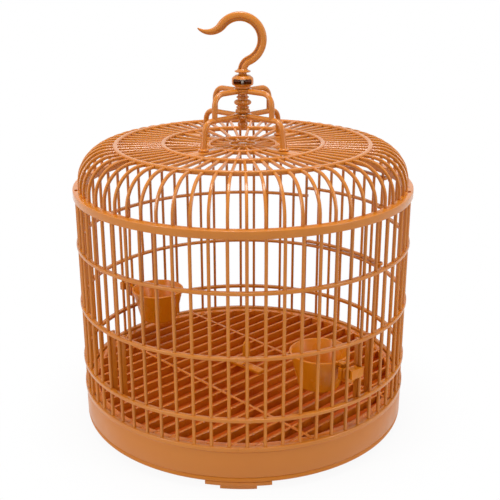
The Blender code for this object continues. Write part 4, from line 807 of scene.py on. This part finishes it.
def clip():
    """The toothed clip for greens: a base with two ears, a folding jaw and a steel pin."""
    place = Matrix.Translation((0.003, -0.003, 0.0430)) @ around(math.radians(-41))
    pin = 0.0054
    bm = bmesh.new()
    soft_box(bm, (0.044, 0.010, 0.003), place @ Matrix.Translation((0, 0, 0.0015)), 0.0006)
    base = piece("clip_base_moulding", bm, "cage", ["clip_base"], CUP)
    ears = reopened(base)
    for side in (-1, 1):
        spot = place @ Matrix.Translation((0, side * 0.004, 0.00455))
        soft_box(ears, (0.0044, 0.002, 0.0061), spot, 0.0005)
    ears.to_mesh(base.data)
    ears.free()
    across = place @ Matrix.Translation((0, 0, pin)) @ Matrix.Rotation(math.pi / 2, 4, "X")
    cuts = bmesh.new()
    drill(cuts, 0.0013, 0.020, across, 24)
    cut_away(base, loose(cuts, "pin_hole"))
    smooth(base.data)
    bm = bmesh.new()
    upright = place @ Matrix.Translation((0, 0, pin)) @ Matrix.Rotation(math.pi / 2, 4, "Y")
    shoulder, half, long, tongue = 0.0034, 0.005, 0.025, 0.0027
    crown = list(arc((half - long, 0), half, -math.pi / 2, -3 * math.pi / 2, 16))
    outline = [(-shoulder, -half)] + crown + [(-shoulder, half), (-shoulder, tongue), (0, tongue),
                                              (0, -tongue), (-shoulder, -tongue)]
    plate(bm, outline, -0.001, 0.001, upright, 0.0004)
    jaw = piece("clip_jaw_moulding", bm, "clip_jaw", ["clip_jaw"], CUP)
    cuts = bmesh.new()
    span = long - shoulder - half - 0.002
    pitch = span / 3
    for k in range(3):
        middle = -shoulder - 0.002 - (k + 0.5) * pitch
        soft_box(cuts, (pitch - 0.001, 0.006, 0.004), upright @ Matrix.Translation((middle, 0, 0)), 0.0006)
    cut_away(jaw, loose(cuts, "teeth"))
    knuckle = reopened(jaw)
    before = set(knuckle.verts)
    carry_round(knuckle, [(0.0013, -0.0024), (0.0021, -0.0024), (0.0021, 0.0024), (0.0013, 0.0024)], 0.0002,
                steps=32)
    bmesh.ops.transform(knuckle, matrix=across, verts=new_verts(knuckle, before))
    put_back(knuckle, jaw)
    bm = bmesh.new()
    turn_piece(bm, [(0, -0.005), (0.0008, -0.005), (0.001, -0.0048), (0.001, 0.0048), (0.0008, 0.005),
                    (0, 0.005)], 24, across)
    piece("clip_pin_steel", bm, "cage", ["clip_pin"], STEEL)


clip()


# Floor, light and camera

def seen_rays(nodes, links, rays):
    """One for a ray from the camera, off a glossy face or through a clear one."""
    value = rays.outputs["Is Camera Ray"]
    for name in ("Is Glossy Ray", "Is Transmission Ray"):
        either = nodes.new("ShaderNodeMath")
        either.operation = "MAXIMUM"
        links.new(value, either.inputs[0])
        links.new(rays.outputs[name], either.inputs[1])
        value = either.outputs["Value"]
    return value


def backdrop():
    bm = bmesh.new()
    bmesh.ops.create_circle(bm, cap_ends=True, segments=64, radius=40)
    mesh = bpy.data.meshes.new("studio_floor")
    bm.to_mesh(mesh)
    bm.free()
    floor = bpy.data.objects.new("studio_floor", mesh)
    bpy.context.collection.objects.link(floor)
    material = bpy.data.materials.new("studio_white")
    material.use_nodes = True
    nodes, links = material.node_tree.nodes, material.node_tree.links
    nodes.remove(nodes["Principled BSDF"])
    matt = nodes.new("ShaderNodeBsdfDiffuse")
    matt.inputs["Color"].default_value = (0.82, 0.82, 0.82, 1)
    shine = nodes.new("ShaderNodeEmission")
    rays = nodes.new("ShaderNodeLightPath")
    share = nodes.new("ShaderNodeMath")
    share.operation = "MULTIPLY"
    where = nodes.new("ShaderNodeTexCoord")
    away = nodes.new("ShaderNodeVectorMath")
    away.operation = "LENGTH"
    fade = nodes.new("ShaderNodeMapRange")
    fade.interpolation_type = "SMOOTHSTEP"
    for key, value in (("From Min", 0.165), ("From Max", 0.26), ("To Min", 0.93), ("To Max", 1.0)):
        fade.inputs[key].default_value = value
    links.new(where.outputs["Object"], away.inputs[0])
    links.new(away.outputs["Value"], fade.inputs["Value"])
    links.new(fade.outputs["Result"], share.inputs[1])
    mix = nodes.new("ShaderNodeMixShader")
    links.new(seen_rays(nodes, links, rays), share.inputs[0])
    links.new(share.outputs["Value"], mix.inputs["Fac"])
    links.new(matt.outputs["BSDF"], mix.inputs[1])
    links.new(shine.outputs["Emission"], mix.inputs[2])
    links.new(mix.outputs["Shader"], nodes["Material Output"].inputs["Surface"])
    floor.data.materials.append(material)


def world():
    sky = bpy.data.worlds.new("studio")
    bpy.context.scene.world = sky
    sky.use_nodes = True
    nodes, links = sky.node_tree.nodes, sky.node_tree.links
    light = nodes["Background"]
    light.inputs["Color"].default_value = (1, 1, 1, 1)
    light.inputs["Strength"].default_value = 0.25
    seen = nodes.new("ShaderNodeBackground")
    seen.inputs["Color"].default_value = (1, 1, 1, 1)
    rays = nodes.new("ShaderNodeLightPath")
    mix = nodes.new("ShaderNodeMixShader")
    links.new(seen_rays(nodes, links, rays), mix.inputs["Fac"])
    links.new(light.outputs["Background"], mix.inputs[1])
    links.new(seen.outputs["Background"], mix.inputs[2])
    links.new(mix.outputs["Shader"], nodes["World Output"].inputs["Surface"])


def lamp(name, spot, aim, size, power):
    light = bpy.data.lights.new(name, "AREA")
    light.shape = "RECTANGLE"
    light.size, light.size_y = size
    light.energy = power
    obj = bpy.data.objects.new(name, light)
    obj.location = spot
    obj.rotation_euler = (Vector(aim) - Vector(spot)).to_track_quat("-Z", "Y").to_euler()
    bpy.context.collection.objects.link(obj)


def camera():
    """The photograph's view: its picture is 500 wide, with the cage's axis at column 243.2."""
    picture, focal, column = 500, 865.5, 243.2
    turn, reach, height = math.radians(1.75), 0.8298, 0.4555
    pitch, roll = 0.3287, -0.0034
    data = bpy.data.cameras.new("photo_view")
    data.sensor_width = 36
    data.lens = data.sensor_width * focal / picture
    data.shift_x = (picture / 2 - column) / picture
    data.clip_end = 100
    obj = bpy.data.objects.new("photo_view", data)
    obj.location = (reach * math.sin(turn), -reach * math.cos(turn), height)
    level = Matrix.Rotation(turn, 3, "Z") @ Matrix.Rotation(math.pi / 2 - pitch, 3, "X")
    obj.rotation_euler = (level @ Matrix.Rotation(roll, 3, "Z")).to_euler()
    bpy.context.collection.objects.link(obj)
    bpy.context.scene.camera = obj


backdrop()
world()
lamp("left", (-1.6, -0.5, 0.8), (0, 0, 0.2), (1.2, 1.4), 5)
lamp("left_strip", (-1.25, -0.95, 0.9), (0, 0, 0.2), (0.22, 1.3), 9)
lamp("right", (1.6, -0.6, 0.8), (0, 0, 0.2), (1.2, 1.4), 4)
lamp("right_strip", (1.45, -0.65, 0.8), (0, 0, 0.2), (0.22, 1.3), 7)
lamp("top", (0.0, -0.12, 1.8), (0, 0, 0.25), (0.65, 0.65), 20)
camera()
bpy.context.scene.view_settings.view_transform = "Standard"
